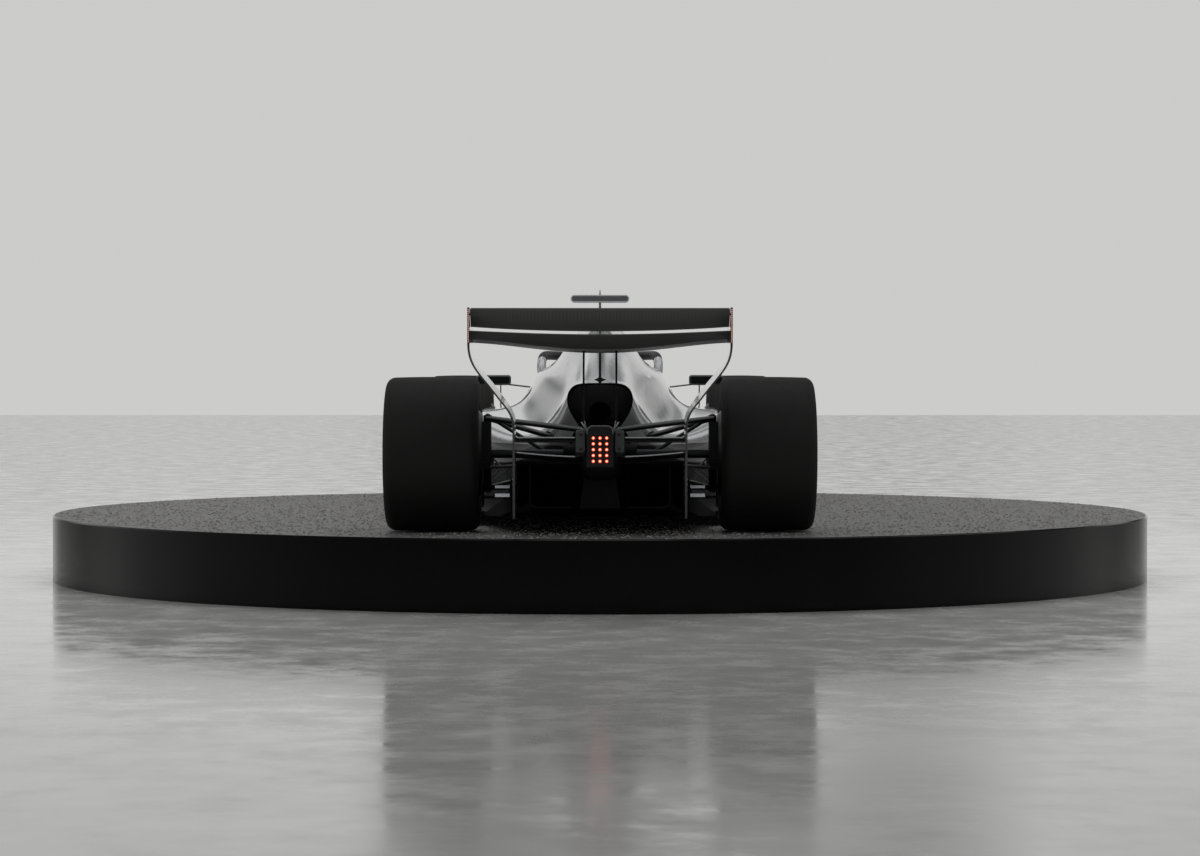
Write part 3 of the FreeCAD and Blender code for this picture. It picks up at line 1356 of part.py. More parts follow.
def build_cockpit(hollow):
    """Seat, headrest and steering wheel."""
    seat_half = mm("cockpit_back_half") - 40
    room = hull(list(TUB), mm("tub_wall") + mm("fit"), first=mm("cockpit_back") - 20,
                last=mm("tub_nose_at") - 60)
    keep("seat", biggest(plate(line_points("seat_view"), -seat_half, seat_half).common(room)))
    ring_outer = cockpit_plan(mm("fit"), mm("headrest_low"), mm("headrest_top"))
    ring_inner = cockpit_plan(mm("headrest_width"), mm("headrest_low") - 40, mm("headrest_top") + 40)
    front_cut = block((-400, mm("headrest_front"), 0), (400, 3200, 1000))
    rest = ring_outer.cut(ring_inner).cut(front_cut)
    keep("headrest", biggest(rest))
    column_end = Vector(0, mm("wheelbase") - mm("steer_arm_reach"), HUB + mm("track_rod_rise"))
    centre = Vector(0, mm("wheel_station"), mm("wheel_height"))
    axis = (column_end - centre).normalize()
    reach = (column_end - centre).Length - mm("rack_radius") - mm("rack_case_wall") - mm("fit")
    column = Part.makeCylinder(11, reach, centre, axis)
    grip_half = mm("wheel_half")
    wheel = Part.makeBox(2 * grip_half - 60, 34, 96, Vector(-grip_half + 30, -10, -48))
    for side in SIDES:
        wheel = wheel.fuse(Part.makeCylinder(15, 130, Vector(side * (grip_half - 18), 4, -62)))
    tilt = Rotation(Vector(0, 1, 0), axis)
    wheel.Placement = Placement(centre, tilt)
    keep("steering_wheel", wheel.fuse(column))


def build_mirrors(body_room):
    """Wing mirrors, each on a thin post from the sidepod and an arm from the cell."""
    half = mm("mirror_half")
    at = mm("mirror_station")
    across = mm("mirror_across")
    up = mm("mirror_up")
    depth = mm("mirror_depth")
    housing = block((across - half, at, up - mm("mirror_height") / 2),
                    (across + half, at + depth, up + mm("mirror_height") / 2))
    housing = housing.makeFillet(mm("mirror_round"), housing.Edges)
    post_at = mm("mirror_post_across")
    post = strut((post_at, at + depth / 2, up), (post_at, at + depth / 2, 400), 40, 8)
    arm_up = up - mm("mirror_arm_drop")
    arm = strut((across - half / 2, at + depth / 2, arm_up), (200, at + depth / 2, arm_up - 40), 36, 9)
    mirror = housing.fuse(post).fuse(arm)
    for room in body_room:
        mirror = mirror.cut(room)
    keep("mirrors", both_sides(outermost(mirror)))


def build_camera():
    """Camera pod on its neck above the airbox, with a thin antenna."""
    half = mm("camera_half")
    at = mm("camera_station")
    up = mm("camera_up")
    rise = mm("camera_height") / 2
    depth = mm("camera_depth") / 2
    pod = block((-half, at - depth, up - rise), (half, at + depth, up + rise))
    pod = pod.makeFillet(rise - 1, [edge for edge in pod.Edges if abs(edge.tangentAt(0).x) < 0.5])
    neck = strut((0, at, mm("mouth_height")), (0, at, up), mm("camera_neck_chord"), mm("camera_neck"))
    mast = Part.makeCone(mm("antenna_radius"), mm("antenna_radius") / 2, mm("antenna_top") - up - rise + 2,
                         Vector(0, at, up + rise - 2))
    camera = pod.fuse(neck).fuse(mast).cut(skin_loft(COVER, 0))
    keep("camera_pod", biggest(camera))


def build_exhaust(case):
    """Tailpipe inside the bodywork's exit, on a saddle that stands on the gearbox case."""
    radius = mm("pipe_radius")
    up = mm("pipe_height")
    front = mm("pipe_front")
    end = mm("pipe_end")
    outer = rod((0, front, up), (0, end, up), radius)
    inner = rod((0, front - 20, up), (0, end - 10, up), radius - mm("pipe_wall"))
    saddle = block((-30, end + 80, HUB), (30, end + 96, up))
    keep("tailpipe", outer.fuse(saddle.cut(case)).cut(inner))


def main():
    """Build every piece, check it and write its file."""
    build_plinth()
    build_wheels()
    build_power_unit()
    tub = hull(list(TUB))
    hollow = build_tub(tub)
    nose = build_nose()
    case = build_gearbox(hull(list(GEARBOX)))
    build_front_suspension(tub)
    build_front_uprights()
    build_rack(hollow)
    arms = build_rear_suspension(case)
    tub_room = hull(list(TUB), -mm("tub_gap"))
    case_room = hull(list(GEARBOX), -mm("case_gap"))
    flange_room = rod((-mm("flange_room_half"), 0, HUB), (mm("flange_room_half"), 0, HUB), mm("flange_room"))
    build_cover(case_room.fuse(flange_room), tub_room, arms)
    build_pods(tub_room)
    build_fin()
    build_floor()
    build_fences()
    build_diffuser(hull(list(GEARBOX), -mm("fit")), arms)
    build_front_wing(nose)
    build_rear_wing(case)
    build_rear_light()
    build_halo(tub)
    build_cockpit(hollow)
    build_mirrors((hull(list(TUB), -mm("fit")), skin_loft(POD, -mm("fit"))))
    build_camera()
    build_exhaust(case)
    write_pieces()


def write_pieces():
    """Stop on any failed object, then write one file for each piece."""
    doc.recompute()
    for item in doc.Objects:
        if {"Invalid", "Error"} & set(item.State):
            raise RuntimeError(f"{item.Name} failed: {item.State}")
    os.makedirs(PARTS_FOLDER, exist_ok=True)
    for piece in pieces:
        shape = piece.Shape
        if shape.isNull() or not shape.isValid() or shape.Volume <= 0:
            raise RuntimeError(f"{piece.Label} is not a sound solid")
        shape.exportStep(os.path.join(PARTS_FOLDER, f"{piece.Label}.step"))
    print(f"{len(pieces)} pieces")


main()
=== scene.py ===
import logging
import math
import random
from dataclasses import dataclass, replace
from enum import Enum
from typing import Iterable, Sequence

import bmesh
import bpy
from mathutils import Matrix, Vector
from mathutils.bvhtree import BVHTree


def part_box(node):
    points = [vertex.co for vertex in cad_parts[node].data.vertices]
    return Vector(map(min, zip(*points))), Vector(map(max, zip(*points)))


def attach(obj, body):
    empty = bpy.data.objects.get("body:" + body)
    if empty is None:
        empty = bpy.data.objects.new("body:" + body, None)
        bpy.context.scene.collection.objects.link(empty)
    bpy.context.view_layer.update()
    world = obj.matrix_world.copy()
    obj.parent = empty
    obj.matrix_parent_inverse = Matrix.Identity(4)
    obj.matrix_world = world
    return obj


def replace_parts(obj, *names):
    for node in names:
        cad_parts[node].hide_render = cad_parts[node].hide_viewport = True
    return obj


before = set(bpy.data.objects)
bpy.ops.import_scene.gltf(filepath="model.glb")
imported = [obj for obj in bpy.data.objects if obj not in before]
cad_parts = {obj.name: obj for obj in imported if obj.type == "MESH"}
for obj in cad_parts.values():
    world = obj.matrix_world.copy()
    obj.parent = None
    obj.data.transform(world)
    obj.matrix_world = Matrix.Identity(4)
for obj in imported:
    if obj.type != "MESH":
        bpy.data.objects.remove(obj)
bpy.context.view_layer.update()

log = logging.getLogger("racing_car")

MM = 0.001
ROOT = "root"
AXLE = -2.09
GROUND = 0.3343
UP = Vector((0.0, 0.0, 1.0))
DOWN = Vector((0.0, 0.0, -1.0))
AHEAD = Vector((0.0, 1.0, 0.0))
BACK = Vector((0.0, -1.0, 0.0))
SIDES = {"left": -1, "right": 1}


def car(across: float, along: float, up: float) -> Vector:
    """Turn a point of the car into a world point.

    Args:
        across: Millimetres to the car's right.
        along: Millimetres ahead of the rear axle.
        up: Millimetres above the ground that the tyres stand on.

    Returns:
        The point in metres, in the frame of the whole object.
    """
    return Vector((across * MM, along * MM + AXLE, up * MM + GROUND))


# Colour and node helpers


def linear(hex_colour: str) -> tuple[float, float, float, float]:
    """Turn an sRGB hex colour into the linear colour that a shader reads.

    Args:
        hex_colour: Six hex digits, with or without a leading hash.

    Returns:
        Red, green, blue and an alpha of one.
    """
    digits = hex_colour.lstrip("#")
    parts = [int(digits[place:place + 2], 16) / 255 for place in (0, 2, 4)]
    curved = [part / 12.92 if part <= 0.04045 else ((part + 0.055) / 1.055) ** 2.4 for part in parts]
    return (curved[0], curved[1], curved[2], 1.0)


def add(tree: bpy.types.NodeTree, kind: str, settings: dict | None = None,
        inputs: dict | None = None, stops: Sequence[tuple[float, str]] = ()) -> bpy.types.Node:
    """Add one shader node with its settings, values and links.

    Args:
        tree: The material's node tree.
        kind: Blender's name for the node type.
        settings: Node properties to set.
        inputs: Socket name or number to a value, or to an output socket that is linked to it.
        stops: Places along a colour ramp with their hex colours.

    Returns:
        The new node.
    """
    node = tree.nodes.new(kind)
    for name, setting in (settings or {}).items():
        setattr(node, name, setting)
    for name, given in (inputs or {}).items():
        if isinstance(given, bpy.types.NodeSocket):
            tree.links.new(given, node.inputs[name])
        else:
            node.inputs[name].default_value = given
    for index, (place, colour) in enumerate(stops):
        elements = node.color_ramp.elements
        element = elements[index] if index < len(elements) else elements.new(1.0)
        element.position = place
        element.color = linear(colour)
    return node


def per_mm(size_mm: float) -> float:
    """Cells in one metre of a pattern whose cell has a real size in millimetres."""
    return 1.0 / (size_mm * MM)


def started(name: str) -> tuple[bpy.types.Material, bpy.types.NodeTree, bpy.types.Node]:
    """Start a material.

    Args:
        name: The material's name.

    Returns:
        The material, its node tree and its surface shader.
    """
    made = bpy.data.materials.new(name)
    made.use_nodes = True
    return made, made.node_tree, made.node_tree.nodes["Principled BSDF"]


def placed(name: str, data: bpy.types.ID) -> bpy.types.Object:
    """Put an object in the scene.

    Args:
        name: The object's name.
        data: Its mesh, lamp or camera.

    Returns:
        The new object.
    """
    made = bpy.data.objects.new(name, data)
    bpy.context.scene.collection.objects.link(made)
    return made


# Finishes


class Pattern(Enum):
    """How a finish's surface was made."""

    SPRAYED = "sprayed"
    TWILL = "twill"
    MOULDED = "moulded"
    GRANULAR = "granular"
    TURNED = "turned"
    GROUND = "ground"
    CAST = "cast"
    WOVEN = "woven"
    SCUFFED = "scuffed"
    LAMINATED = "laminated"
    HEATED = "heated"


@dataclass(frozen=True)
class Finish:
    """A real material and how its surface was made.

    The pattern size is the real one, or as coarse as it has to be to show in the render.
    """

    name: str
    pattern: Pattern
    colour: str
    second: str
    roughness: float
    metallic: float = 0.0
    ior: float = 1.5
    coat: float = 0.0
    coat_roughness: float = 0.05
    pattern_mm: float = 4.0
    relief: float = 0.1
    roughness_spread: float = 0.1
    sheen: float = 0.0
    shine: float = 0.5
    slot: str | None = None
    lower: str | None = None
    split_mm: float = 0.0

    def material(self) -> bpy.types.Material:
        """Make the material, or return the one already made."""
        known = bpy.data.materials.get(self.name)
        if known:
            return known
        made, tree, shader = started(self.name)
        values = {"Metallic": self.metallic, "Coat Weight": self.coat, "Coat Roughness": self.coat_roughness,
                  "Sheen Weight": self.sheen, "Specular IOR Level": self.shine}
        if not self.metallic:
            values["IOR"] = self.ior
        for name, given in values.items():
            shader.inputs[name].default_value = given
        factor, height = self.surface(tree)
        colour = add(tree, "ShaderNodeValToRGB", inputs={"Fac": factor},
                     stops=[(0.25, self.colour), (0.75, self.second)])
        tree.links.new(self.painted(tree, shader, colour.outputs["Color"]), shader.inputs["Base Color"])
        spread = add(tree, "ShaderNodeMapRange", inputs={
            "Value": factor,
            "To Min": max(self.roughness - self.roughness_spread / 2, 0.02),
            "To Max": min(self.roughness + self.roughness_spread / 2, 1.0),
        })
        tree.links.new(spread.outputs["Result"], shader.inputs["Roughness"])
        bump = add(tree, "ShaderNodeBump", inputs={
            "Strength": self.relief, "Distance": self.pattern_mm * MM * 0.25, "Height": height,
        })
        tree.links.new(bump.outputs["Normal"], shader.inputs["Normal"])
        return made

    def painted(self, tree: bpy.types.NodeTree, shader: bpy.types.Node,
                colour: bpy.types.NodeSocket) -> bpy.types.NodeSocket:
        """Leave the carbon below a level line unpainted, where the finish has such a line.

        Args:
            tree: The material's node tree.
            shader: The material's surface.
            colour: The paint's colour.

        Returns:
            The colour of the whole piece.
        """
        if self.lower is None:
            return colour
        place = add(tree, "ShaderNodeTexCoord").outputs["Object"]
        up = add(tree, "ShaderNodeSeparateXYZ", inputs={"Vector": place}).outputs["Z"]
        line = self.split_mm * MM + GROUND
        above = add(tree, "ShaderNodeMapRange", inputs={
            "Value": up, "From Min": line - MM, "From Max": line + MM}).outputs["Result"]
        metal = add(tree, "ShaderNodeMath", {"operation": "MULTIPLY"}, {0: above, 1: self.metallic})
        tree.links.new(metal.outputs[0], shader.inputs["Metallic"])
        mixed = add(tree, "ShaderNodeMixRGB", inputs={
            "Fac": above, "Color1": linear(self.lower), "Color2": colour})
        return mixed.outputs["Color"]

    def surface(self, tree: bpy.types.NodeTree) -> tuple[bpy.types.NodeSocket, bpy.types.NodeSocket]:
        """Build the pattern's colour factor and its relief.

        Args:
            tree: The material's node tree.

        Returns:
            The factor between the two colours, and the height for the bump.
        """
        place = add(tree, "ShaderNodeTexCoord").outputs["Object"]
        scale = per_mm(self.pattern_mm)
        if self.pattern is Pattern.TWILL:
            return self.twill(tree, place, scale)
        if self.pattern is Pattern.GRANULAR:
            return self.granules(tree, place, scale)
        if self.pattern is Pattern.WOVEN:
            return self.weave(tree, place, scale)
        if self.pattern in (Pattern.GROUND, Pattern.TURNED):
            stretched = add(tree, "ShaderNodeVectorMath", {"operation": "MULTIPLY"},
                            {0: place, 1: (0.04, 1.0, 1.0)}).outputs[0]
            streaks = add(tree, "ShaderNodeTexNoise", inputs={
                "Vector": stretched, "Scale": scale, "Detail": 4.0}).outputs["Fac"]
            return streaks, streaks
        if self.pattern is Pattern.LAMINATED:
            bands = add(tree, "ShaderNodeTexWave", {"bands_direction": "Z"}, {
                "Vector": place, "Scale": scale / 6, "Distortion": 3.0, "Detail": 3.0}).outputs["Fac"]
            return bands, bands
        if self.pattern is Pattern.SCUFFED:
            broad = add(tree, "ShaderNodeTexNoise", inputs={
                "Vector": place, "Scale": scale / 12, "Detail": 5.0, "Roughness": 0.65}).outputs["Fac"]
            grain = add(tree, "ShaderNodeTexNoise", inputs={
                "Vector": place, "Scale": scale, "Detail": 3.0}).outputs["Fac"]
            return broad, grain
        cells = add(tree, "ShaderNodeTexNoise", inputs={
            "Vector": place, "Scale": scale, "Detail": 2.0}).outputs["Fac"]
        return cells, cells

    def twill(self, tree: bpy.types.NodeTree, place: bpy.types.NodeSocket,
              scale: float) -> tuple[bpy.types.NodeSocket, bpy.types.NodeSocket]:
        """Two-by-two twill of carbon tows.

        Args:
            tree: The material's node tree.
            place: Where on the object the surface is.
            scale: Tows in one metre.

        Returns:
            The factor between the tows' two shades, and the weave's height.
        """
        ribs = []
        for direction in ((1.0, 1.0, 1.0), (1.0, -1.0, -1.0)):
            turned = add(tree, "ShaderNodeVectorMath", {"operation": "DOT_PRODUCT"},
                         {0: place, 1: tuple(part * scale * 0.5 for part in direction)}).outputs["Value"]
            wave = add(tree, "ShaderNodeMath", {"operation": "PINGPONG"}, {0: turned, 1: 0.5})
            ribs.append(wave.outputs[0])
        over = add(tree, "ShaderNodeMath", {"operation": "GREATER_THAN"}, {0: ribs[0], 1: ribs[1]})
        depth = add(tree, "ShaderNodeMath", {"operation": "MAXIMUM"}, {0: ribs[0], 1: ribs[1]})
        shade = add(tree, "ShaderNodeMath", {"operation": "MULTIPLY_ADD"},
                    {0: over.outputs[0], 1: 0.6, 2: 0.2})
        return shade.outputs[0], depth.outputs[0]

    def granules(self, tree: bpy.types.NodeTree, place: bpy.types.NodeSocket,
                 scale: float) -> tuple[bpy.types.NodeSocket, bpy.types.NodeSocket]:
        """Crushed stone bound in tar, with pale chips between dark ones.

        Args:
            tree: The material's node tree.
            place: Where on the object the surface is.
            scale: Grains in one metre.

        Returns:
            The factor between dark and pale, and the grains' height.
        """
        grains = add(tree, "ShaderNodeTexVoronoi", {"feature": "F1"}, {"Vector": place, "Scale": scale})
        patches = add(tree, "ShaderNodeTexNoise", inputs={
            "Vector": place, "Scale": scale / 9, "Detail": 6.0, "Roughness": 0.7})
        mixed = add(tree, "ShaderNodeMath", {"operation": "MULTIPLY"},
                    {0: grains.outputs["Color"], 1: patches.outputs["Fac"]})
        height = add(tree, "ShaderNodeMath", {"operation": "MULTIPLY_ADD"},
                     {0: grains.outputs["Distance"], 1: -0.6, 2: patches.outputs["Fac"]})
        lifted = add(tree, "ShaderNodeMath", {"operation": "MULTIPLY"}, {0: mixed.outputs[0], 1: 1.7})
        return lifted.outputs[0], height.outputs[0]

    def weave(self, tree: bpy.types.NodeTree, place: bpy.types.NodeSocket,
              scale: float) -> tuple[bpy.types.NodeSocket, bpy.types.NodeSocket]:
        """Plain weave of crossing threads.

        Args:
            tree: The material's node tree.
            place: Where on the object the surface is.
            scale: Threads in one metre.

        Returns:
            The factor between the two thread colours, and the threads' height.
        """
        threads = []
        for direction in ("X", "Y"):
            wave = add(tree, "ShaderNodeTexWave", {"bands_direction": direction}, {
                "Vector": place, "Scale": scale / 6.3, "Distortion": 0.4})
            threads.append(wave.outputs["Fac"])
        height = add(tree, "ShaderNodeMath", {"operation": "MAXIMUM"}, {0: threads[0], 1: threads[1]})
        return height.outputs[0], height.outputs[0]


# Silver metallic lacquer over carbon fibre: pale grey with soft flake and a clear, mirror-like coat.
SILVER = Finish("silver_metallic_lacquer", Pattern.SPRAYED, "#B2B3B5", "#BABBBD", 0.24, metallic=0.68,
                coat=1.0, coat_roughness=0.04, pattern_mm=5, relief=0.004, slot="silver_paint")
# Carbon fibre with a rubbed satin lacquer: near black, the twill showing as a faint grid. Real tows are
# 2 mm wide and are drawn 8 mm wide so that they show.
CARBON_SATIN = Finish("carbon_twill_satin", Pattern.TWILL, "#191A1B", "#212223", 0.40, coat=0.25,
                      coat_roughness=0.3, pattern_mm=8, relief=0.12, slot="carbon_satin")
CARBON_GLOSS = Finish("carbon_twill_gloss", Pattern.TWILL, "#121315", "#1B1C1F", 0.34, coat=1.0,
                      coat_roughness=0.05, pattern_mm=8, relief=0.08, slot="carbon_gloss")
# Carbon fibre as it leaves the mould, uncoated and dark, on the inner side of the bodywork.
CARBON_BARE = Finish("carbon_twill_bare", Pattern.TWILL, "#0A0A0B", "#101011", 0.62, pattern_mm=8,
                     relief=0.1, shine=0.15, slot="carbon_satin")
# The same carbon, drawn lighter grey on the rear wing than it is: painted light that makes up for how little
# lamp light reaches the wing's rear faces.
CARBON_PAINTED_LIGHT = Finish("carbon_twill_painted_light", Pattern.TWILL, "#444543", "#4C4D4B", 0.46, coat=0.15,
                     coat_roughness=0.35, pattern_mm=8, relief=0.08, slot="carbon_satin")
# Lower part of the sidepods: silver above a level line, lacquered carbon below it.
POD_PAINT = replace(SILVER, name="silver_lacquer_over_carbon", lower="#131415", split_mm=392)
# Near black on the faces of the bodywork that look back at its own skin: painted shade in its hollows.
INNER_SHADE = Finish("inner_skin_painted_shade", Pattern.MOULDED, "#040404", "#060606", 0.9, pattern_mm=3,
                    relief=0.02, roughness_spread=0.05, shine=0.1, slot="carbon_satin")
# Satin black lacquer on the halo's hoop.
HALO_BLACK = Finish("halo_satin_lacquer", Pattern.SPRAYED, "#0B0B0C", "#101011", 0.5, pattern_mm=6,
                    relief=0.02, slot="carbon_gloss")
# Polyester lacquer sprayed on the drum and polished: a black mirror.
DRUM_LACQUER = Finish("drum_black_lacquer", Pattern.SPRAYED, "#030303", "#050505", 0.14,
                      pattern_mm=30, relief=0.01, roughness_spread=0.04, shine=0.2, slot="plinth_gloss")
# Crushed stone in bitumen, grit about 8 mm across, drawn at 16 mm.
DECK_ASPHALT = Finish("deck_asphalt", Pattern.GRANULAR, "#0E0E0E", "#4C4B49", 0.6, pattern_mm=16,
                      relief=1.0, roughness_spread=0.4, slot="deck_asphalt")
# Loose chips of the same stone, pale where they broke.
GRIT = Finish("stone_chips", Pattern.CAST, "#1C1C1B", "#8E8C88", 0.5, pattern_mm=30, relief=0.05,
              roughness_spread=0.3, slot="deck_asphalt")
# Slick racing rubber, scrubbed: dull black with a fine grain.
TYRE_RUBBER = Finish("slick_rubber", Pattern.SCUFFED, "#0B0A0A", "#121110", 0.72, ior=1.52, pattern_mm=3,
                     relief=0.25, shine=0.35, roughness_spread=0.2, slot="tyre_rubber")
# Forged magnesium, stoved with a satin gun-metal enamel.
RIM_ENAMEL = Finish("rim_gunmetal_enamel", Pattern.SPRAYED, "#66676A", "#707174", 0.36, metallic=0.7,
                    coat=0.3, pattern_mm=2, relief=0.05, slot="rim_black")
ALLOY = Finish("machined_alloy", Pattern.TURNED, "#77797C", "#8B8D90", 0.36, metallic=1.0, pattern_mm=1.5,
               relief=0.06, slot="machined_alloy")
BRIGHT_ALLOY = Finish("polished_alloy", Pattern.TURNED, "#A9ABAE", "#B9BBBE", 0.24, metallic=1.0,
                      pattern_mm=1.5, relief=0.04, slot="machined_alloy")
STEEL = Finish("ground_steel", Pattern.GROUND, "#55575A", "#66686B", 0.34, metallic=1.0, pattern_mm=1.5,
               relief=0.05, slot="bare_steel")
# Steel fasteners with black oxide.
BOLT_STEEL = Finish("black_oxide_steel", Pattern.TURNED, "#2B2C2E", "#3A3B3D", 0.42, metallic=0.9,
                    pattern_mm=1.2, relief=0.05, slot="bare_steel")
# Tailpipe of thin nickel alloy, straw to blue where the gas heats it.
HOT_PIPE = Finish("heat_tinted_nickel", Pattern.HEATED, "#2E2724", "#22242E", 0.40, metallic=1.0,
                  pattern_mm=60, relief=0.03, slot="exhaust_metal")
CASTING = Finish("sand_cast_alloy", Pattern.CAST, "#2C2D2E", "#3A3B3C", 0.60, metallic=0.8, pattern_mm=2,
                 relief=0.4, slot="engine_casting")
PLANK = Finish("densified_laminate", Pattern.LAMINATED, "#2A221B", "#3A2F25", 0.55, pattern_mm=3,
               relief=0.1, slot="plank_board")
HOUSING = Finish("lamp_housing_abs", Pattern.MOULDED, "#0B0B0C", "#111112", 0.32, pattern_mm=1.2,
                 relief=0.12, slot="light_housing")
SEAT_CARBON = Finish("seat_twill", Pattern.TWILL, "#17181A", "#222326", 0.4, coat=0.4, pattern_mm=8,
                     relief=0.1, slot="seat_shell")
FOAM_COVER = Finish("headrest_cover", Pattern.WOVEN, "#1D1E20", "#2B2C30", 0.85, pattern_mm=3, relief=0.3,
                    sheen=0.3, slot="foam_cover")
WEBBING = Finish("polyester_webbing", Pattern.WOVEN, "#232427", "#35363A", 0.8, pattern_mm=2.5, relief=0.5,
                 sheen=0.2, slot="foam_cover")
GRIP = Finish("grip_silicone", Pattern.MOULDED, "#121214", "#1A1A1C", 0.6, pattern_mm=2.5, relief=0.3,
              slot="grip_plastic")
KNOB = Finish("anodised_knob", Pattern.TURNED, "#8A3A22", "#9A4630", 0.38, metallic=0.9, pattern_mm=1.2,
              relief=0.06, slot="grip_plastic")
SCREEN = Finish("display_glass", Pattern.SPRAYED, "#07090C", "#0A0D11", 0.08, coat=1.0, pattern_mm=20,
                relief=0.0, slot="grip_plastic")
MIRROR_GLASS = Finish("mirror_glass", Pattern.SPRAYED, "#6D7073", "#74777A", 0.05, metallic=1.0,
                      pattern_mm=40, relief=0.004, roughness_spread=0.02, slot="carbon_gloss")
# Shadow line where two skins meet, filled with black sealant.
SEALANT = Finish("joint_sealant", Pattern.MOULDED, "#0C0C0D", "#131314", 0.6, pattern_mm=2, relief=0.1,
                 slot="carbon_satin")
# Grey rubber lip over the top of the rear lamp.
LIP_GREY = Finish("grey_seal_lip", Pattern.MOULDED, "#6C6D6E", "#767778", 0.5, pattern_mm=3, relief=0.05,
                  slot="light_housing")
# Cast clamps that hold the beam wing, bead blasted.
CLAMP = Finish("cast_clamp_grey", Pattern.CAST, "#3C3D3E", "#48494A", 0.5, metallic=0.5, pattern_mm=3,
               relief=0.2, slot="machined_alloy")
# Pale tape against stone chips, bonded along the rear mainplane.
BAND = Finish("erosion_strip", Pattern.SPRAYED, "#A4A5A3", "#AEAFAD", 0.4, coat=0.3, pattern_mm=12,
              relief=0.02, slot="carbon_gloss")
# Pale strip round the camera pod's rear face: a painted highlight along its edges.
POD_EDGE_HIGHLIGHT = Finish("painted_edge_highlight", Pattern.MOULDED, "#A8A9AA", "#B2B3B4", 0.5, pattern_mm=4, relief=0.05,
                  slot="silver_paint")
# Grey enamel on the upper part of the camera pod.
POD_GREY = Finish("camera_pod_enamel", Pattern.SPRAYED, "#535456", "#5E5F61", 0.35, coat=0.5, pattern_mm=6,
                  relief=0.02, slot="silver_paint")
# Brushed metal strip round the plinth's deck.
RIM_METAL = Finish("brushed_rim_strip", Pattern.TURNED, "#3A3B3C", "#4A4B4C", 0.3, metallic=1.0,
                   pattern_mm=2, relief=0.04, slot="plinth_gloss")


@dataclass(frozen=True)
class LitLens:
    """Clear moulded lens over a lit diode: pale at the heart, then orange, deep red at the rim."""

    name: str
    heart: str
    glow: str
    rim: str
    strength: float
    slot: str = "red_lens"

    def material(self) -> bpy.types.Material:
        """Make the material, or return the one already made."""
        known = bpy.data.materials.get(self.name)
        if known:
            return known
        made, tree, shader = started(self.name)
        shader.inputs["Roughness"].default_value = 0.14
        shader.inputs["Emission Strength"].default_value = self.strength
        facing = add(tree, "ShaderNodeLayerWeight", inputs={"Blend": 0.4}).outputs["Facing"]
        glow = add(tree, "ShaderNodeValToRGB", inputs={"Fac": facing},
                   stops=[(0.0, self.heart), (0.10, self.glow), (0.42, self.rim)])
        tree.links.new(glow.outputs["Color"], shader.inputs["Emission Color"])
        tree.links.new(glow.outputs["Color"], shader.inputs["Base Color"])
        return made


LENS = LitLens("lit_red_lens", "#FFC8AC", "#F2411C", "#5A0A04", 1.4)
STRIP_LENS = LitLens("lit_strip_lens", "#FFEADF", "#F09A78", "#A84A2C", 1.1)

AnyFinish = Finish | LitLens

NODE_FINISHES: dict[str, AnyFinish] = {
    "plinth_drum": DRUM_LACQUER,
    "plinth_deck": DECK_ASPHALT,
    "survival_cell": SILVER,
    "nose_cone": SILVER,
    "engine_cover": POD_PAINT,
    "sidepods": POD_PAINT,
    "shark_fin": CARBON_GLOSS,
    "floor": CARBON_BARE,
    "plank": PLANK,
    "floor_fences": CARBON_BARE,
    "diffuser": CARBON_BARE,
    "halo": HALO_BLACK,
    "headrest": FOAM_COVER,
    "seat": SEAT_CARBON,
    "mirrors": CARBON_GLOSS,
    "camera_pod": CARBON_GLOSS,
    "power_unit": CASTING,
    "gearbox_case": CARBON_BARE,
    "tailpipe": HOT_PIPE,
    "rear_light": HOUSING,
    "rear_light_lenses": LENS,
    "endplate_lights": HOUSING,
    "rear_wing_mainplane": CARBON_PAINTED_LIGHT,
    "rear_wing_flap": CARBON_PAINTED_LIGHT,
    "rear_wing_endplates": CARBON_GLOSS,
    "beam_wing": CARBON_GLOSS,
    "wing_pylons": CARBON_BARE,
    "front_wing_mainplane": CARBON_SATIN,
    "front_wing_flaps": CARBON_SATIN,
    "front_wing_endplates": CARBON_SATIN,
    "front_upper_wishbones": CARBON_SATIN,
    "front_lower_wishbones": CARBON_SATIN,
    "front_pushrods": CARBON_SATIN,
    "rear_upper_wishbones": CARBON_SATIN,
    "rear_lower_wishbones": CARBON_SATIN,
    "rear_pullrods": CARBON_SATIN,
    "rear_uprights": CARBON_BARE,
    "rack_case": ALLOY,
    "steering_rack": STEEL,
    "steering_wheel": GRIP,
}
PAIRED_FINISHES: dict[str, AnyFinish] = {
    "rear_tyre": TYRE_RUBBER,
    "front_tyre": TYRE_RUBBER,
    "rear_rim": RIM_ENAMEL,
    "front_rim": RIM_ENAMEL,
    "rear_drum": CARBON_SATIN,
    "front_drum": CARBON_SATIN,
    "front_upright": ALLOY,
    "driveshaft": BOLT_STEEL,
}
SMOOTH_BELOW = math.radians(32)


def dress_nodes() -> None:
    """Give every carried-over solid its finish."""
    finishes = dict(NODE_FINISHES)
    for name, finish in PAIRED_FINISHES.items():
        for side in SIDES:
            finishes[f"{name}_{side}"] = finish
    for name, finish in finishes.items():
        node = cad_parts[name]
        node.data.materials.clear()
        node.data.materials.append(finish.material())
        log.info("dressed %s in %s", name, finish.name)


# Making detail pieces


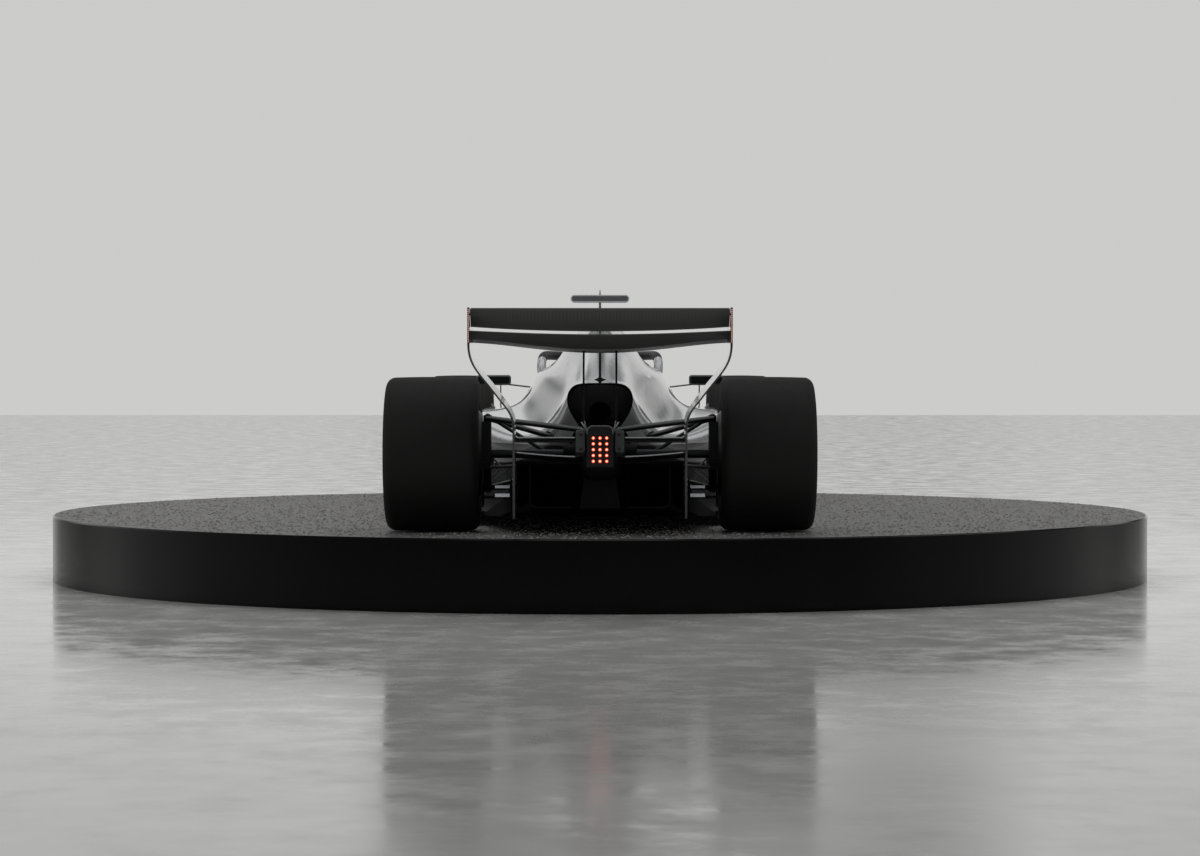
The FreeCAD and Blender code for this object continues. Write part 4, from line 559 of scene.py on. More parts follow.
class Piece:
    """One detail piece, gathered face by face and then made into an object that rides on a body."""

    def __init__(self, name: str, finish: AnyFinish, body: str = ROOT) -> None:
        """Start an empty piece.

        Args:
            name: The finished object's name.
            finish: What it is made of.
            body: The moving body that carries it.
        """
        self.name = name
        self.finish = finish
        self.body = body
        self.mesh = bmesh.new()

    def skin(self, rings: Sequence[Sequence[Vector]], round_again: bool = True,
             capped: bool = True) -> None:
        """Join rings of equally many points by faces.

        Args:
            rings: The rings, one after another.
            round_again: Whether each ring closes on itself.
            capped: Whether the first and last ring are filled.
        """
        rows = [[self.mesh.verts.new(point) for point in ring] for ring in rings]
        count = len(rows[0])
        for first, second in zip(rows, rows[1:]):
            for index in range(count if round_again else count - 1):
                following = (index + 1) % count
                self.mesh.faces.new((first[index], first[following], second[following], second[index]))
        if capped and round_again:
            self.mesh.faces.new(list(reversed(rows[0])))
            self.mesh.faces.new(rows[-1])

    def turned(self, centre: Vector, axis: Vector, profile: Sequence[tuple[float, float]],
               around: int = 24) -> None:
        """Turn a profile round an axis.

        Args:
            centre: Where the profile's zero lies.
            axis: The direction that the profile runs in.
            profile: Places along the axis with their radii, in millimetres. One that comes back
                to its first place makes an open ring.
            around: Faces in one turn.
        """
        direction = axis.normalized()
        side = direction.orthogonal().normalized()
        other = direction.cross(side)
        rings = []
        for along, radius in profile:
            ring = []
            for step in range(around):
                angle = 2 * math.pi * step / around
                spoke = side * math.cos(angle) + other * math.sin(angle)
                ring.append(centre + direction * along * MM + spoke * max(radius, 0.02) * MM)
            rings.append(ring)
        self.skin(rings, capped=profile[0] != profile[-1])

    def swept(self, path: Sequence[Vector], half_wide: float, half_thick: float, upright: Vector,
              around: int = 12, square: float = 1.0) -> None:
        """Sweep a flattened section along a path.

        Args:
            path: Points that the section's middle follows.
            half_wide: Half its width in millimetres, across the upright.
            half_thick: Half its thickness in millimetres, along the upright.
            upright: The way that the section's thin side faces, roughly.
            around: Points in the section.
            square: One for an ellipse, less for a squarer section.
        """
        rings = []
        for index, point in enumerate(path):
            before = path[max(index - 1, 0)]
            after = path[min(index + 1, len(path) - 1)]
            along = (after - before).normalized()
            wide = along.cross(upright).normalized()
            thick = wide.cross(along)
            ring = []
            for step in range(around):
                angle = 2 * math.pi * (step + 0.5) / around
                across = math.copysign(abs(math.cos(angle)) ** square, math.cos(angle))
                rise = math.copysign(abs(math.sin(angle)) ** square, math.sin(angle))
                ring.append(point + wide * across * half_wide * MM + thick * rise * half_thick * MM)
            rings.append(ring)
        self.skin(rings)

    def slab(self, outline: Sequence[Vector], depth: Vector) -> None:
        """Push a flat outline through a depth.

        Args:
            outline: The outline's corners in order.
            depth: How far, and which way.
        """
        self.skin([list(outline), [corner + depth for corner in outline]])

    def made(self, bevel: float = 0.0, smooth: bool = True) -> bpy.types.Object:
        """Finish the piece.

        Args:
            bevel: Width of its softened edges in millimetres.
            smooth: Whether its curved faces are shaded smooth.

        Returns:
            The finished object, already riding on its body.
        """
        bmesh.ops.remove_doubles(self.mesh, verts=self.mesh.verts, dist=0.00001)
        bmesh.ops.recalc_face_normals(self.mesh, faces=self.mesh.faces)
        data = bpy.data.meshes.new(self.name)
        self.mesh.to_mesh(data)
        self.mesh.free()
        data.materials.append(self.finish.material())
        if smooth:
            data.shade_smooth()
            data.set_sharp_from_angle(angle=SMOOTH_BELOW)
        piece = placed(self.name, data)
        if bevel:
            soft = piece.modifiers.new("soft_edges", "BEVEL")
            soft.width = bevel * MM
            soft.segments = 2
            soft.limit_method = "ANGLE"
            soft.angle_limit = math.radians(40)
        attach(piece, self.body)
        log.info("made %s", self.name)
        return piece


class Surface:
    """The outside of a carried-over solid, to set details on."""

    def __init__(self, *nodes: str) -> None:
        """Read the solids' faces.

        Args:
            nodes: Names of the solids.
        """
        points: list[Vector] = []
        faces: list[tuple[int, ...]] = []
        for name in nodes:
            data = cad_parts[name].data
            start = len(points)
            points += [corner.co.copy() for corner in data.vertices]
            faces += [tuple(start + index for index in face.vertices) for face in data.polygons]
        self.tree = BVHTree.FromPolygons(points, faces)

    def hit(self, start: Vector, toward: Vector) -> tuple[Vector, Vector] | None:
        """Find where a line first meets the surface.

        Args:
            start: Where the line starts.
            toward: The way it runs.

        Returns:
            The point and the way that the surface faces there, or None.
        """
        place, facing, _, _ = self.tree.ray_cast(start, toward.normalized())
        if place is None:
            return None
        if facing.dot(toward) > 0:
            facing = -facing
        return place, facing


def screw_profile(radius: float, height: float) -> list[tuple[float, float]]:
    """Profile of a domed screw head with a socket in its middle, in millimetres."""
    return [(-0.5, radius), (height * 0.5, radius), (height * 0.85, radius * 0.86), (height, radius * 0.6),
            (height, radius * 0.42), (height * 0.3, radius * 0.38), (height * 0.3, 0.0)]


HEX_HEAD = ((-1, 12), (5, 12), (6, 10), (6, 5), (9, 4.5), (9, 0))


def rounded(half_wide: float, half_high: float, corner: float, steps: int = 4) -> list[tuple[float, float]]:
    """Outline of a rectangle with round corners, as pairs of millimetres from its middle."""
    outline = []
    for quarter, (sign_wide, sign_high) in enumerate(((1, 1), (-1, 1), (-1, -1), (1, -1))):
        middle = (sign_wide * (half_wide - corner), sign_high * (half_high - corner))
        for step in range(steps + 1):
            angle = math.radians(90 * quarter + 90 * step / steps)
            outline.append((middle[0] + corner * math.cos(angle), middle[1] + corner * math.sin(angle)))
    return outline


# Details of the car


@dataclass
class Shading:
    """Second finishes: painted shade on the skins' hollows, the halo's legs, and a painted reflection on the
    endplates' rolls.
    """

    cell_middle: float = 350.0
    cover_front: float = 1780.0
    cover_back: float = 130.0
    hollow: float = 1000.0
    mouth_up: float = 905.0
    mouth_half: float = 96.0
    mouth_rise: float = 73.0
    mouth_lip: float = 1.0
    exit_lip: float = 6.0
    halo_leg_front: float = 2010.0
    roll_low: float = 470.0
    roll_high: float = 868.0

    def build(self) -> None:
        """Paint shade on the bodywork's hollows, and give the halo's legs the body's paint."""
        for name in ("engine_cover", "sidepods", "survival_cell"):
            self.line(name)
        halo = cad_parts["halo"]
        halo.data.materials.append(SILVER.material())
        limit = car(0, self.halo_leg_front, 0).y
        for face in halo.data.polygons:
            face.material_index = 1 if face.center.y < limit else 0
        self.endplates()

    def endplates(self) -> None:
        """Paint the rolled part of the rear endplates silver on its inner side: a painted reflection of the
        bright wall that this face catches at a grazing angle.
        """
        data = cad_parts["rear_wing_endplates"].data
        data.materials.append(SILVER.material())
        for face in data.polygons:
            up = (face.center.z - GROUND) / MM
            inward = face.normal.x * face.center.x < 0 and abs(face.normal.y) < 0.5
            face.material_index = 1 if inward and self.roll_low < up < self.roll_high else 0

    def line(self, name: str) -> None:
        """Paint near-black shade on one skin's faces that look at the same skin again, inner and concave
        outer ones alike.

        Args:
            name: The solid.
        """
        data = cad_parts[name].data
        data.materials.append(INNER_SHADE.material())
        skin = Surface(name)
        for face in data.polygons:
            middle = face.center
            along = (middle.y - AXLE) / MM
            across_hollow = skin.hit(middle + face.normal * MM, face.normal)
            inward = across_hollow is not None and (across_hollow[0] - middle).length < self.hollow * MM
            if name == "survival_cell":
                away = middle - Vector((0.0, middle.y, self.cell_middle * MM + GROUND))
                inward = inward or face.normal.dot(away) < 0
            # The airbox mouth's inside and the exhaust exit's rim take the painted shade as well.
            if name == "engine_cover" and along > self.cover_front + self.mouth_lip:
                rise = ((middle.z - GROUND) / MM - self.mouth_up) / self.mouth_rise
                inward = math.hypot(middle.x / MM / self.mouth_half, rise) < 1
            if name == "engine_cover" and along < self.cover_back + self.exit_lip and face.normal.y < -0.7:
                inward = True
            face.material_index = 1 if inward else 0


@dataclass
class RearLamp:
    """Rain light: moulded domes over its diodes, a bezel, and the clamps either side."""

    columns: int = 3
    rows: int = 5
    pitch_across: float = 30.0
    pitch_up: float = 26.0
    lowest: float = 344.0
    dome: float = 8.5
    dome_high: float = 5.5
    bezel: float = 3.0
    clamp_inner: float = 64.0
    clamp_outer: float = 109.0
    clamp_middle: float = 430.0
    clamp_half: float = 51.0
    clamp_bolts: tuple[float, float] = (398.0, 462.0)
    top_corner: float = 26.0
    rim_room: float = 17.0

    def build(self) -> None:
        """Make the domes, the lip, the bezel and the clamps."""
        low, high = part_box("rear_light")
        back = (low[1] - AXLE) / MM
        domes = Piece("rear_light_domes", LENS)
        for column in range(self.columns):
            for row in range(self.rows):
                across = (column - (self.columns - 1) / 2) * self.pitch_across
                up = self.lowest + row * self.pitch_up
                domes.turned(car(across, back + 0.5, up), BACK, [
                    (self.dome_high * math.sin(math.radians(turn)), self.dome * math.cos(math.radians(turn)))
                    for turn in range(0, 91, 15)], 20)
        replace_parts(domes.made(), "rear_light_lenses")
        self.frame(back)
        self.lip(back, high)
        self.clamps(back)

    def lip(self, back: float, high: Vector) -> None:
        """Pale seal over the top of the lamp's rounded housing.

        Args:
            back: Station of the lamp's rear face.
            high: Upper corner of the lamp's box.
        """
        half = high[0] / MM - 2
        top = (high[2] - GROUND) / MM - 2
        corner = self.top_corner
        path = [car(-half, back - 1, top - corner * 1.5)]
        for turn in range(180, 89, -15):
            path.append(car(-half + corner + corner * math.cos(math.radians(turn)), back - 1,
                            top - corner + corner * math.sin(math.radians(turn))))
        path += [Vector((-place.x, place.y, place.z)) for place in reversed(path)]
        seal = Piece("rear_light_lip", LIP_GREY)
        seal.swept(path, 1.0, 1.6, Vector((0, 0.01, 1)), around=8)
        seal.made()

    def frame(self, back: float) -> None:
        """Raised rim round the diodes and a screw in each of its corners.

        Args:
            back: Station of the lamp's rear face.
        """
        middle = self.lowest + (self.rows - 1) / 2 * self.pitch_up
        half_wide = self.pitch_across + self.rim_room
        half_high = (self.rows - 1) / 2 * self.pitch_up + self.rim_room
        outside = rounded(half_wide, half_high, 12)
        inside = rounded(half_wide - self.bezel, half_high - self.bezel, 9)
        rim = Piece("rear_light_bezel", HOUSING)
        rings = [[car(across, along, middle + up) for across, up in outline]
                 for outline, along in ((outside, back + 1), (outside, back - 3), (inside, back - 3),
                                        (inside, back + 1))]
        rim.skin(rings + [rings[0]], capped=False)
        rim.made(bevel=0.6)
        screws = Piece("rear_light_screws", BOLT_STEEL)
        for across in (-half_wide - 6, half_wide + 6):
            for up in (-half_high + 8, half_high - 8):
                screws.turned(car(across, back, middle + up), BACK, screw_profile(3.5, 2.5), 12)
        screws.made()

    def clamps(self, back: float) -> None:
        """Machined clamps that hold the beam wing to the crash structure.

        Args:
            back: Station of the lamp's rear face.
        """
        clamps = Piece("beam_wing_clamps", CLAMP)
        bolts = Piece("beam_wing_clamp_bolts", BOLT_STEEL)
        for side in SIDES.values():
            middle = side * (self.clamp_inner + self.clamp_outer) / 2
            half = (self.clamp_outer - self.clamp_inner) / 2
            outline = rounded(half, self.clamp_half, 10)
            clamps.skin([[car(middle + across * grow, along, self.clamp_middle + up * grow)
                          for across, up in outline]
                         for along, grow in ((back + 150, 1.0), (back + 30, 1.0), (back + 22, 0.86))])
            for up in self.clamp_bolts:
                bolts.turned(car(middle, back + 22, up), BACK, screw_profile(6, 4), 12)
        clamps.made(bevel=1.5)
        bolts.made()


@dataclass
class RearWing:
    """Edge lights, strips, painted highlight strips on the beam wing, seals, hinge caps and pylon feet of the
    rear wing, and the fin's end cap.
    """

    dots: int = 18
    dot_pitch: float = 8.4
    dot_low: float = 878.0
    dot: float = 2.1
    half: float = 592.0
    top: float = 1025.0
    rear: float = -700.0
    flap_half: float = 576.0
    seal: float = 4.5
    star_station: float = 95.0
    star_up: float = 706.0
    star_reaches: tuple[float, ...] = (28.0, 12.5, 25.0, 12.5)
    beam_edges: tuple[tuple[float, float], ...] = ((448.0, 448.0), (360.0, 382.0))
    beam_inner: float = 114.0
    beam_run: float = 262.0
    beam_outer: float = 380.0
    foot_station: float = -622.0
    screws: tuple[tuple[float, float], ...] = ((-360.0, 905.0), (-560.0, 935.0))

    def build(self) -> None:
        """Make every detail of the wing."""
        self.edge_lights()
        self.gurney()
        self.brackets()
        self.feet()
        self.edge_band()
        self.beam_edge_highlights()
        self.end_seals()
        self.fin_star()

    def end_seals(self) -> None:
        """Brush seals that fill the flap's running gap to the endplates, riding with the flap."""
        seals = Piece("flap_end_seals", CARBON_PAINTED_LIGHT, "wing_flap")
        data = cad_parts["rear_wing_flap"].data
        for face in data.polygons:
            side = math.copysign(1, face.center.x)
            at_end = abs(abs(face.center.x) / MM - self.flap_half) < 1
            if at_end and face.normal.x * side > 0.9:
                corners = [data.vertices[index].co.copy() for index in face.vertices]
                seals.slab(corners, Vector((side * self.seal * MM, 0, 0)))
        seals.made(smooth=False)

    def fin_star(self) -> None:
        """Four-pointed end cap on the shark fin's tail."""
        star = Piece("fin_end_cap", HALO_BLACK)
        outline = []
        for step in range(8):
            angle = math.radians(45 * step)
            reach = self.star_reaches[step % 4]
            outline.append(car(reach * math.cos(angle), self.star_station,
                               self.star_up + reach * math.sin(angle)))
        star.slab(outline, Vector((0, -4 * MM, 0)))
        star.made()

    def beam_edge_highlights(self) -> None:
        """Polished strips along the beam wing's rear edges: painted highlights along those edges."""
        trims = Piece("beam_wing_edge_highlights", BRIGHT_ALLOY)
        beam = Surface("beam_wing")
        for side in SIDES.values():
            for centre_up, end_up in self.beam_edges:
                path = []
                for step in range(17):
                    across = self.beam_inner + self.beam_run * step / 16
                    up = centre_up + (end_up - centre_up) * (across / self.beam_outer) ** 2
                    found = [beam.hit(car(side * across, -900, up + lift), AHEAD)
                             for lift in (-3, -1.5, 0, 1.5, 3)]
                    places = [spot[0] for spot in found if spot]
                    if places:
                        path.append(min(places, key=lambda place: place.y))
                if len(path) > 2:
                    trims.swept(path, 1.6, 2.6, UP, around=8, square=0.6)
        trims.made()

    def edge_lights(self) -> None:
        """Row of small diodes down the rear edge of each endplate."""
        dots = Piece("endplate_diodes", STRIP_LENS)
        back = (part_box("endplate_lights")[0][1] - AXLE) / MM
        for side in SIDES.values():
            for index in range(self.dots):
                place = car(side * (self.half - 5), back + 0.3, self.dot_low + index * self.dot_pitch)
                dots.turned(place, BACK, [(0, self.dot), (1.2, self.dot * 0.9),
                                                        (2.0, self.dot * 0.5), (2.2, 0)], 12)
        dots.made()

    def gurney(self) -> None:
        """Small upright strip along the flap's trailing edge, riding with the flap."""
        strip = Piece("flap_gurney", CARBON_GLOSS, "wing_flap")
        low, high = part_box("rear_wing_flap")
        half = (high[0] - low[0]) / 2 / MM - 12
        edge = (low[1] - AXLE) / MM
        tops = Surface("rear_wing_flap")
        path = []
        for step in range(25):
            across = -half + 2 * half * step / 24
            found = tops.hit(car(across, edge + 5, 1100), DOWN)
            if found:
                path.append(found[0] + Vector((0, 0, 1.0 * MM)))
        strip.swept(path, 1.0, 4.0, UP, around=8, square=0.5)
        strip.made()

    def brackets(self) -> None:
        """Caps of the flap's hinge, and the screws that hold the mainplane to the endplates."""
        caps = Piece("flap_hinge_caps", BOLT_STEEL)
        for side in SIDES.values():
            caps.turned(car(side * self.half, self.rear + 30, self.top - 24), Vector((side, 0, 0)),
                        screw_profile(7, 1.2), 20)
            for along, up in self.screws:
                caps.turned(car(side * self.half, along, up), Vector((side, 0, 0)),
                            screw_profile(5, 1.2), 12)
        caps.made()

    def feet(self) -> None:
        """Bright forked feet that bolt the pylons to the crash structure."""
        feet = Piece("pylon_feet", BRIGHT_ALLOY)
        bolts = Piece("pylon_foot_bolts", BOLT_STEEL)
        back = self.foot_station
        for side in SIDES.values():
            inner = side * 62
            for across, up in ((side * 84, 519), (side * 70, 523)):
                arm = [car(inner + (across - inner) * 0.35, back, 497), car(across, back, up)]
                feet.swept(arm, 3.2, 5.0, AHEAD, around=10, square=0.7)
            feet.swept([car(side * 60, back, 484), car(side * 68, back, 502)], 4.0, 5.0,
                       AHEAD, around=10, square=0.7)
            feet.slab([car(side * 60, back + 6, 470), car(side * 86, back + 6, 470),
                       car(side * 86, back + 6, 490), car(side * 60, back + 6, 490)],
                      Vector((0, 90 * MM, 0)))
            for along in (back + 24, back + 70):
                bolts.turned(car(side * 84, along, 480), Vector((side, 0, 0)), screw_profile(5, 3), 12)
        feet.made(bevel=0.8)
        bolts.made()

    def edge_band(self) -> None:
        """Erosion strip bonded along the mainplane's underside, just behind its lowest line."""
        band = Piece("mainplane_edge_band", BAND)
        below = Surface("rear_wing_mainplane")
        rings = []
        for step in range(49):
            across = -self.half + 16 + (2 * self.half - 32) * step / 48
            found = [below.hit(car(across, along, 700), UP) for along in range(-320, -660, -5)]
            places = [spot for spot in found if spot]
            lowest = min(places, key=lambda spot: spot[0].z)[0]
            behind = [spot for spot in places
                      if spot[0].y < lowest.y and 2 * MM < spot[0].z - lowest.z < 15 * MM]
            if len(behind) < 4:
                continue
            chosen = [behind[round(part * (len(behind) - 1) / 3)] for part in range(4)]
            ring = [place + facing * 0.7 * MM for place, facing in chosen]
            rings.append(ring + [place - facing * 0.4 * MM for place, facing in reversed(chosen)])
        band.skin(rings)
        band.made()


@dataclass
class Wheel:
    """Moulded ribs of a tyre, and the nut, pegs and valve of its rim."""

    axle: str
    along: float
    overall: float
    hub_up: float = 360.0
    hub_depth: float = 58.0
    boss: float = 30.0
    spokes: int = 10
    peg_circle: float = 46.0
    valve_along: float = 196.0
    valve_up: float = 4.0
    valve_depth: float = 34.0
    start: float = 900.0
    rings: tuple[tuple[float, float], ...] = ((243, 1.6), (252, 1.0), (298, 1.4), (306, 1.0))

    def build(self) -> None:
        """Make both sides' details."""
        for name, side in SIDES.items():
            self.ribs(name, side)
            self.centre(name, side)

    def ribs(self, name: str, side: int) -> None:
        """Raised rings moulded into both sidewalls.

        Args:
            name: Which side of the car.
            side: Minus one for left, one for right.
        """
        ribs = Piece(f"{self.axle}_tyre_ribs_{name}", TYRE_RUBBER, f"wheel_{self.axle}_{name}")
        tyre = Surface(f"{self.axle}_tyre_{name}")
        for radius, half in self.rings:
            for outward in (side, -side):
                start = car(side * self.overall / 2 + outward * self.start, self.along, self.hub_up + radius)
                found = tyre.hit(start, Vector((-outward, 0, 0)))
                if not found:
                    continue
                depth = found[0].x / MM
                centre = car(depth, self.along, self.hub_up)
                ribs.turned(centre, Vector((outward, 0, 0)), [
                    (-1.5, radius - half * 1.5), (0.6, radius - half), (1.0, radius), (0.6, radius + half),
                    (-1.5, radius + half * 1.5), (-1.5, radius - half * 1.5)], 96)
        ribs.made()

    def centre(self, name: str, side: int) -> None:
        """Wheel nut, drive pegs and valve.

        Args:
            name: Which side of the car.
            side: Minus one for left, one for right.
        """
        body = f"wheel_{self.axle}_{name}"
        out = Vector((side, 0, 0))
        low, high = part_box(f"{self.axle}_rim_{name}")
        face = (self.overall / 2 - self.hub_depth) * side
        nut = Piece(f"{self.axle}_wheel_nut_{name}", KNOB, body)
        nut.turned(car(face + side * self.boss, self.along, self.hub_up), out, [
            (-4, 32), (3, 32), (5, 28), (13, 26.5), (18, 24), (18, 15), (6, 13), (6, 0)], 12)
        nut.made(bevel=1.0)
        pegs = Piece(f"{self.axle}_drive_pegs_{name}", BRIGHT_ALLOY, body)
        for index in range(self.spokes):
            angle = 2 * math.pi * (index + 0.5) / self.spokes
            across = self.peg_circle * math.cos(angle)
            up = self.peg_circle * math.sin(angle)
            pegs.turned(car(face - side * 2, self.along + across, self.hub_up + up), out,
                        screw_profile(4.5, 4), 12)
        pegs.made()
        valve = Piece(f"{self.axle}_valve_{name}", BRIGHT_ALLOY, body)
        edge = max(abs(low[0]), abs(high[0])) / MM
        valve.turned(car(side * (edge - self.valve_depth), self.along + self.valve_along,
                         self.hub_up + self.valve_up), out,
                     [(-4, 4), (12, 4), (13, 3.2), (24, 3.2), (26, 2.4), (26, 0)], 12)
        valve.made()


@dataclass
class Linkage:
    """Joint bolts and root clamps of the wishbones."""

    hub_up: float = 360.0
    wheelbase: float = 3550.0
    front_joint: float = 577.0
    front_rises: tuple[float, float] = (155.0, -145.0)
    rear_joint_in: float = 20.0
    rear_rises: tuple[float, float] = (181.0, -175.0)
    root_stations: tuple[float, float] = (108.0, -312.0)
    root_rises: tuple[float, float] = (157.0, -30.0)

    def build(self) -> None:
        """Make the fittings of both axles."""
        self.bolts("front_joint_bolts", self.front_joint, self.wheelbase, self.front_rises)
        rear_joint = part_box("rear_upper_wishbones")[1][0] / MM - self.rear_joint_in
        self.bolts("rear_joint_bolts", rear_joint, 0.0, self.rear_rises)
        self.sleeves()

    def bolts(self, name: str, joint: float, along: float, rises: Sequence[float]) -> None:
        """Bolts that close one axle's outer joints from above and below.

        Args:
            name: The piece's name.
            joint: How far out the joints are.
            along: Station of the axle.
            rises: Heights of the bolts' seats over the hub.
        """
        bolts = Piece(name, BRIGHT_ALLOY)
        for side in SIDES.values():
            for rise in rises:
                bolts.turned(car(side * joint, along, self.hub_up + rise), UP if rise > 0 else -UP,
                             HEX_HEAD, 6)
        bolts.made(bevel=0.5)

    def sleeves(self) -> None:
        """Flexure clamps where the front arms meet the survival cell."""
        clamps = Piece("wishbone_root_clamps", ALLOY)
        cell = Surface("survival_cell", "nose_cone")
        for side in SIDES.values():
            for ahead in self.root_stations:
                for rise in self.root_rises:
                    start = car(side * 600, self.wheelbase + ahead, self.hub_up + rise)
                    found = cell.hit(start, Vector((-side, 0, 0)))
                    if found:
                        place, facing = found
                        clamps.turned(place, facing, [(-3, 26), (2, 26), (4, 22), (4, 0)], 20)
        clamps.made(bevel=0.5)


@dataclass
class Bodywork:
    """Sealed joint, quarter-turn fasteners, painted shade for cooling slot openings, and airbox divider of
    the bodywork.
    """

    reach: float = 1400.0
    joint_station: float = 3180.0
    joint_up: float = 420.0
    stations: tuple[tuple[float, float, tuple[float, ...]], ...] = (
        (1740, 430, (14, 30, 150, 166)), (1825, 430, (14, 30, 150, 166)),
        (3140, 420, (-20, 20, 60, 120, 160, 200)), (3225, 420, (-20, 20, 60, 120, 160, 200)))

    def build(self) -> None:
        """Make every detail of the bodywork."""
        self.skin = Surface("engine_cover", "sidepods", "survival_cell", "nose_cone")
        self.joints()
        self.fasteners()
        self.slot_shade()
        self.divider()

    def around(self, along: float, up: float, angles: Iterable[float]) -> list[tuple[Vector, Vector]]:
        """Points of the skin seen from outside, round one station.

        Args:
            along: Station ahead of the rear axle.
            up: Height of the middle that the lines aim at.
            angles: Degrees from the car's right side upwards.

        Returns:
            Points with the way that the skin faces there.
        """
        found = []
        for angle in angles:
            ray = Vector((math.cos(math.radians(angle)), 0, math.sin(math.radians(angle))))
            spot = self.skin.hit(car(0, along, up) + ray * self.reach * MM, -ray)
            if spot:
                found.append(spot)
        return found

    def joint(self, piece: Piece, spots: Sequence[tuple[Vector, Vector]], half: float = 1.4) -> None:
        """Lay a narrow line of sealant along points of the skin.

        Args:
            piece: The piece that takes the line.
            spots: Points with the way that the skin faces.
            half: Half the line's width in millimetres.
        """
        rings = []
        for index, (place, facing) in enumerate(spots):
            before = spots[max(index - 1, 0)][0]
            after = spots[min(index + 1, len(spots) - 1)][0]
            wide = (after - before).cross(facing).normalized() * half * MM
            rings.append([place + wide - facing * MM, place + wide * 0.6 + facing * 0.5 * MM,
                          place - wide * 0.6 + facing * 0.5 * MM, place - wide - facing * MM])
        if len(rings) > 2:
            piece.skin(rings)

    def joints(self) -> None:
        """Joint across the survival cell, ahead of the cockpit."""
        lines = Piece("bodywork_joints", SEALANT)
        angles = [-40 + 260 * step / 60 for step in range(61)]
        self.joint(lines, self.around(self.joint_station, self.joint_up, angles))
        lines.made()

    def fasteners(self) -> None:
        """Quarter-turn fasteners either side of the joint and behind the cockpit."""
        studs = Piece("quarter_turn_fasteners", BOLT_STEEL)
        for along, up, angles in self.stations:
            for place, facing in self.around(along, up, angles):
                studs.turned(place, facing, [(-0.8, 7), (0.5, 7), (0.9, 6.2), (0.9, 3.4), (0.3, 3.0),
                                             (0.3, 0)], 16)
        studs.made()

    def slot_shade(self) -> None:
        """Cooling slot openings in the flank of the cover's tail, drawn as dark strips on the skin: painted
        shade.
        """
        lips = Piece("tail_cooling_slot_shade", CARBON_BARE)
        for side in SIDES.values():
            spots = []
            for step in range(9):
                spot = self.skin.hit(car(side * 500, 210 - 2 * step, 628 + 4 * step), Vector((-side, 0, 0)))
                if spot:
                    spots.append(spot)
            self.joint(lips, spots, half=5.0)
        lips.made()

    def divider(self) -> None:
        """Carbon blade that splits the airbox mouth."""
        blade = Piece("airbox_divider", CARBON_SATIN)
        outline = [car(-3, 1700, 843), car(-3, 1760, 841), car(-3, 1742, 905), car(-3, 1752, 966),
                   car(-3, 1690, 968)]
        blade.slab(outline, Vector((6 * MM, 0, 0)))
        blade.made(bevel=1.5)


@dataclass
class FrontWing:
    """Slot spacers, flap adjusters, skid strips and screws of the front wing."""

    half: float = 950.0
    spacers_at: tuple[tuple[float, float], ...] = ((300, 4330), (520, 4250), (740, 4170), (300, 4210),
                                                   (520, 4140), (740, 4090))
    spacer_side: tuple[tuple[float, float], ...] = ((26, -8), (22, 7), (-20, 10), (-28, -6))
    skid_line: tuple[tuple[float, float], ...] = ((4400, 60), (4300, 51), (4200, 43), (4110, 46), (4020, 50))
    plate_screws_at: tuple[tuple[float, float], ...] = ((4290, 88), (4230, 96), (4170, 100), (4130, 122),
                                                        (4080, 168), (4040, 228))

    def build(self) -> None:
        """Make the front wing's details."""
        spacers = Piece("front_slot_spacers", ALLOY)
        wing = Surface("front_wing_mainplane", "front_wing_flaps")
        for side in SIDES.values():
            for across, along in self.spacers_at:
                found = wing.hit(car(side * across, along, 500), DOWN)
                if found:
                    outline = [found[0] + Vector((0, ahead * MM, rise * MM))
                               for ahead, rise in self.spacer_side]
                    spacers.slab(outline, Vector((2.5 * MM, 0, 0)))
        spacers.made(bevel=0.6)
        self.adjusters(wing)
        self.skids()
        self.plate_screws()

    def adjusters(self, wing: Surface) -> None:
        """Round housings with a socket, from which the flaps' angle is set.

        Args:
            wing: The wing's surface.
        """
        pods = Piece("flap_adjusters", CARBON_GLOSS)
        sockets = Piece("flap_adjuster_sockets", BRIGHT_ALLOY)
        for side in SIDES.values():
            found = wing.hit(car(side * 430, 4165, 500), DOWN)
            if not found:
                continue
            place, facing = found
            pods.turned(place, facing, [(-4, 13), (5, 13), (9, 11), (11, 8), (11, 0)], 20)
            sockets.turned(place + facing * 11 * MM, facing, screw_profile(6, 3), 6)
        pods.made(bevel=0.5)
        sockets.made()

    def skids(self) -> None:
        """Rubbing strips under the endplates."""
        strips = Piece("endplate_skids", BOLT_STEEL)
        for side in SIDES.values():
            path = [car(side * (self.half - 5), along, up) for along, up in self.skid_line]
            strips.swept(path, 4.0, 3.0, UP, around=8, square=0.6)
        strips.made()

    def plate_screws(self) -> None:
        """Screws through the endplates into the wing's elements."""
        screws = Piece("endplate_screws", BOLT_STEEL)
        for side in SIDES.values():
            for along, up in self.plate_screws_at:
                screws.turned(car(side * self.half, along, up), Vector((side, 0, 0)),
                              screw_profile(4.5, 2), 12)
        screws.made()


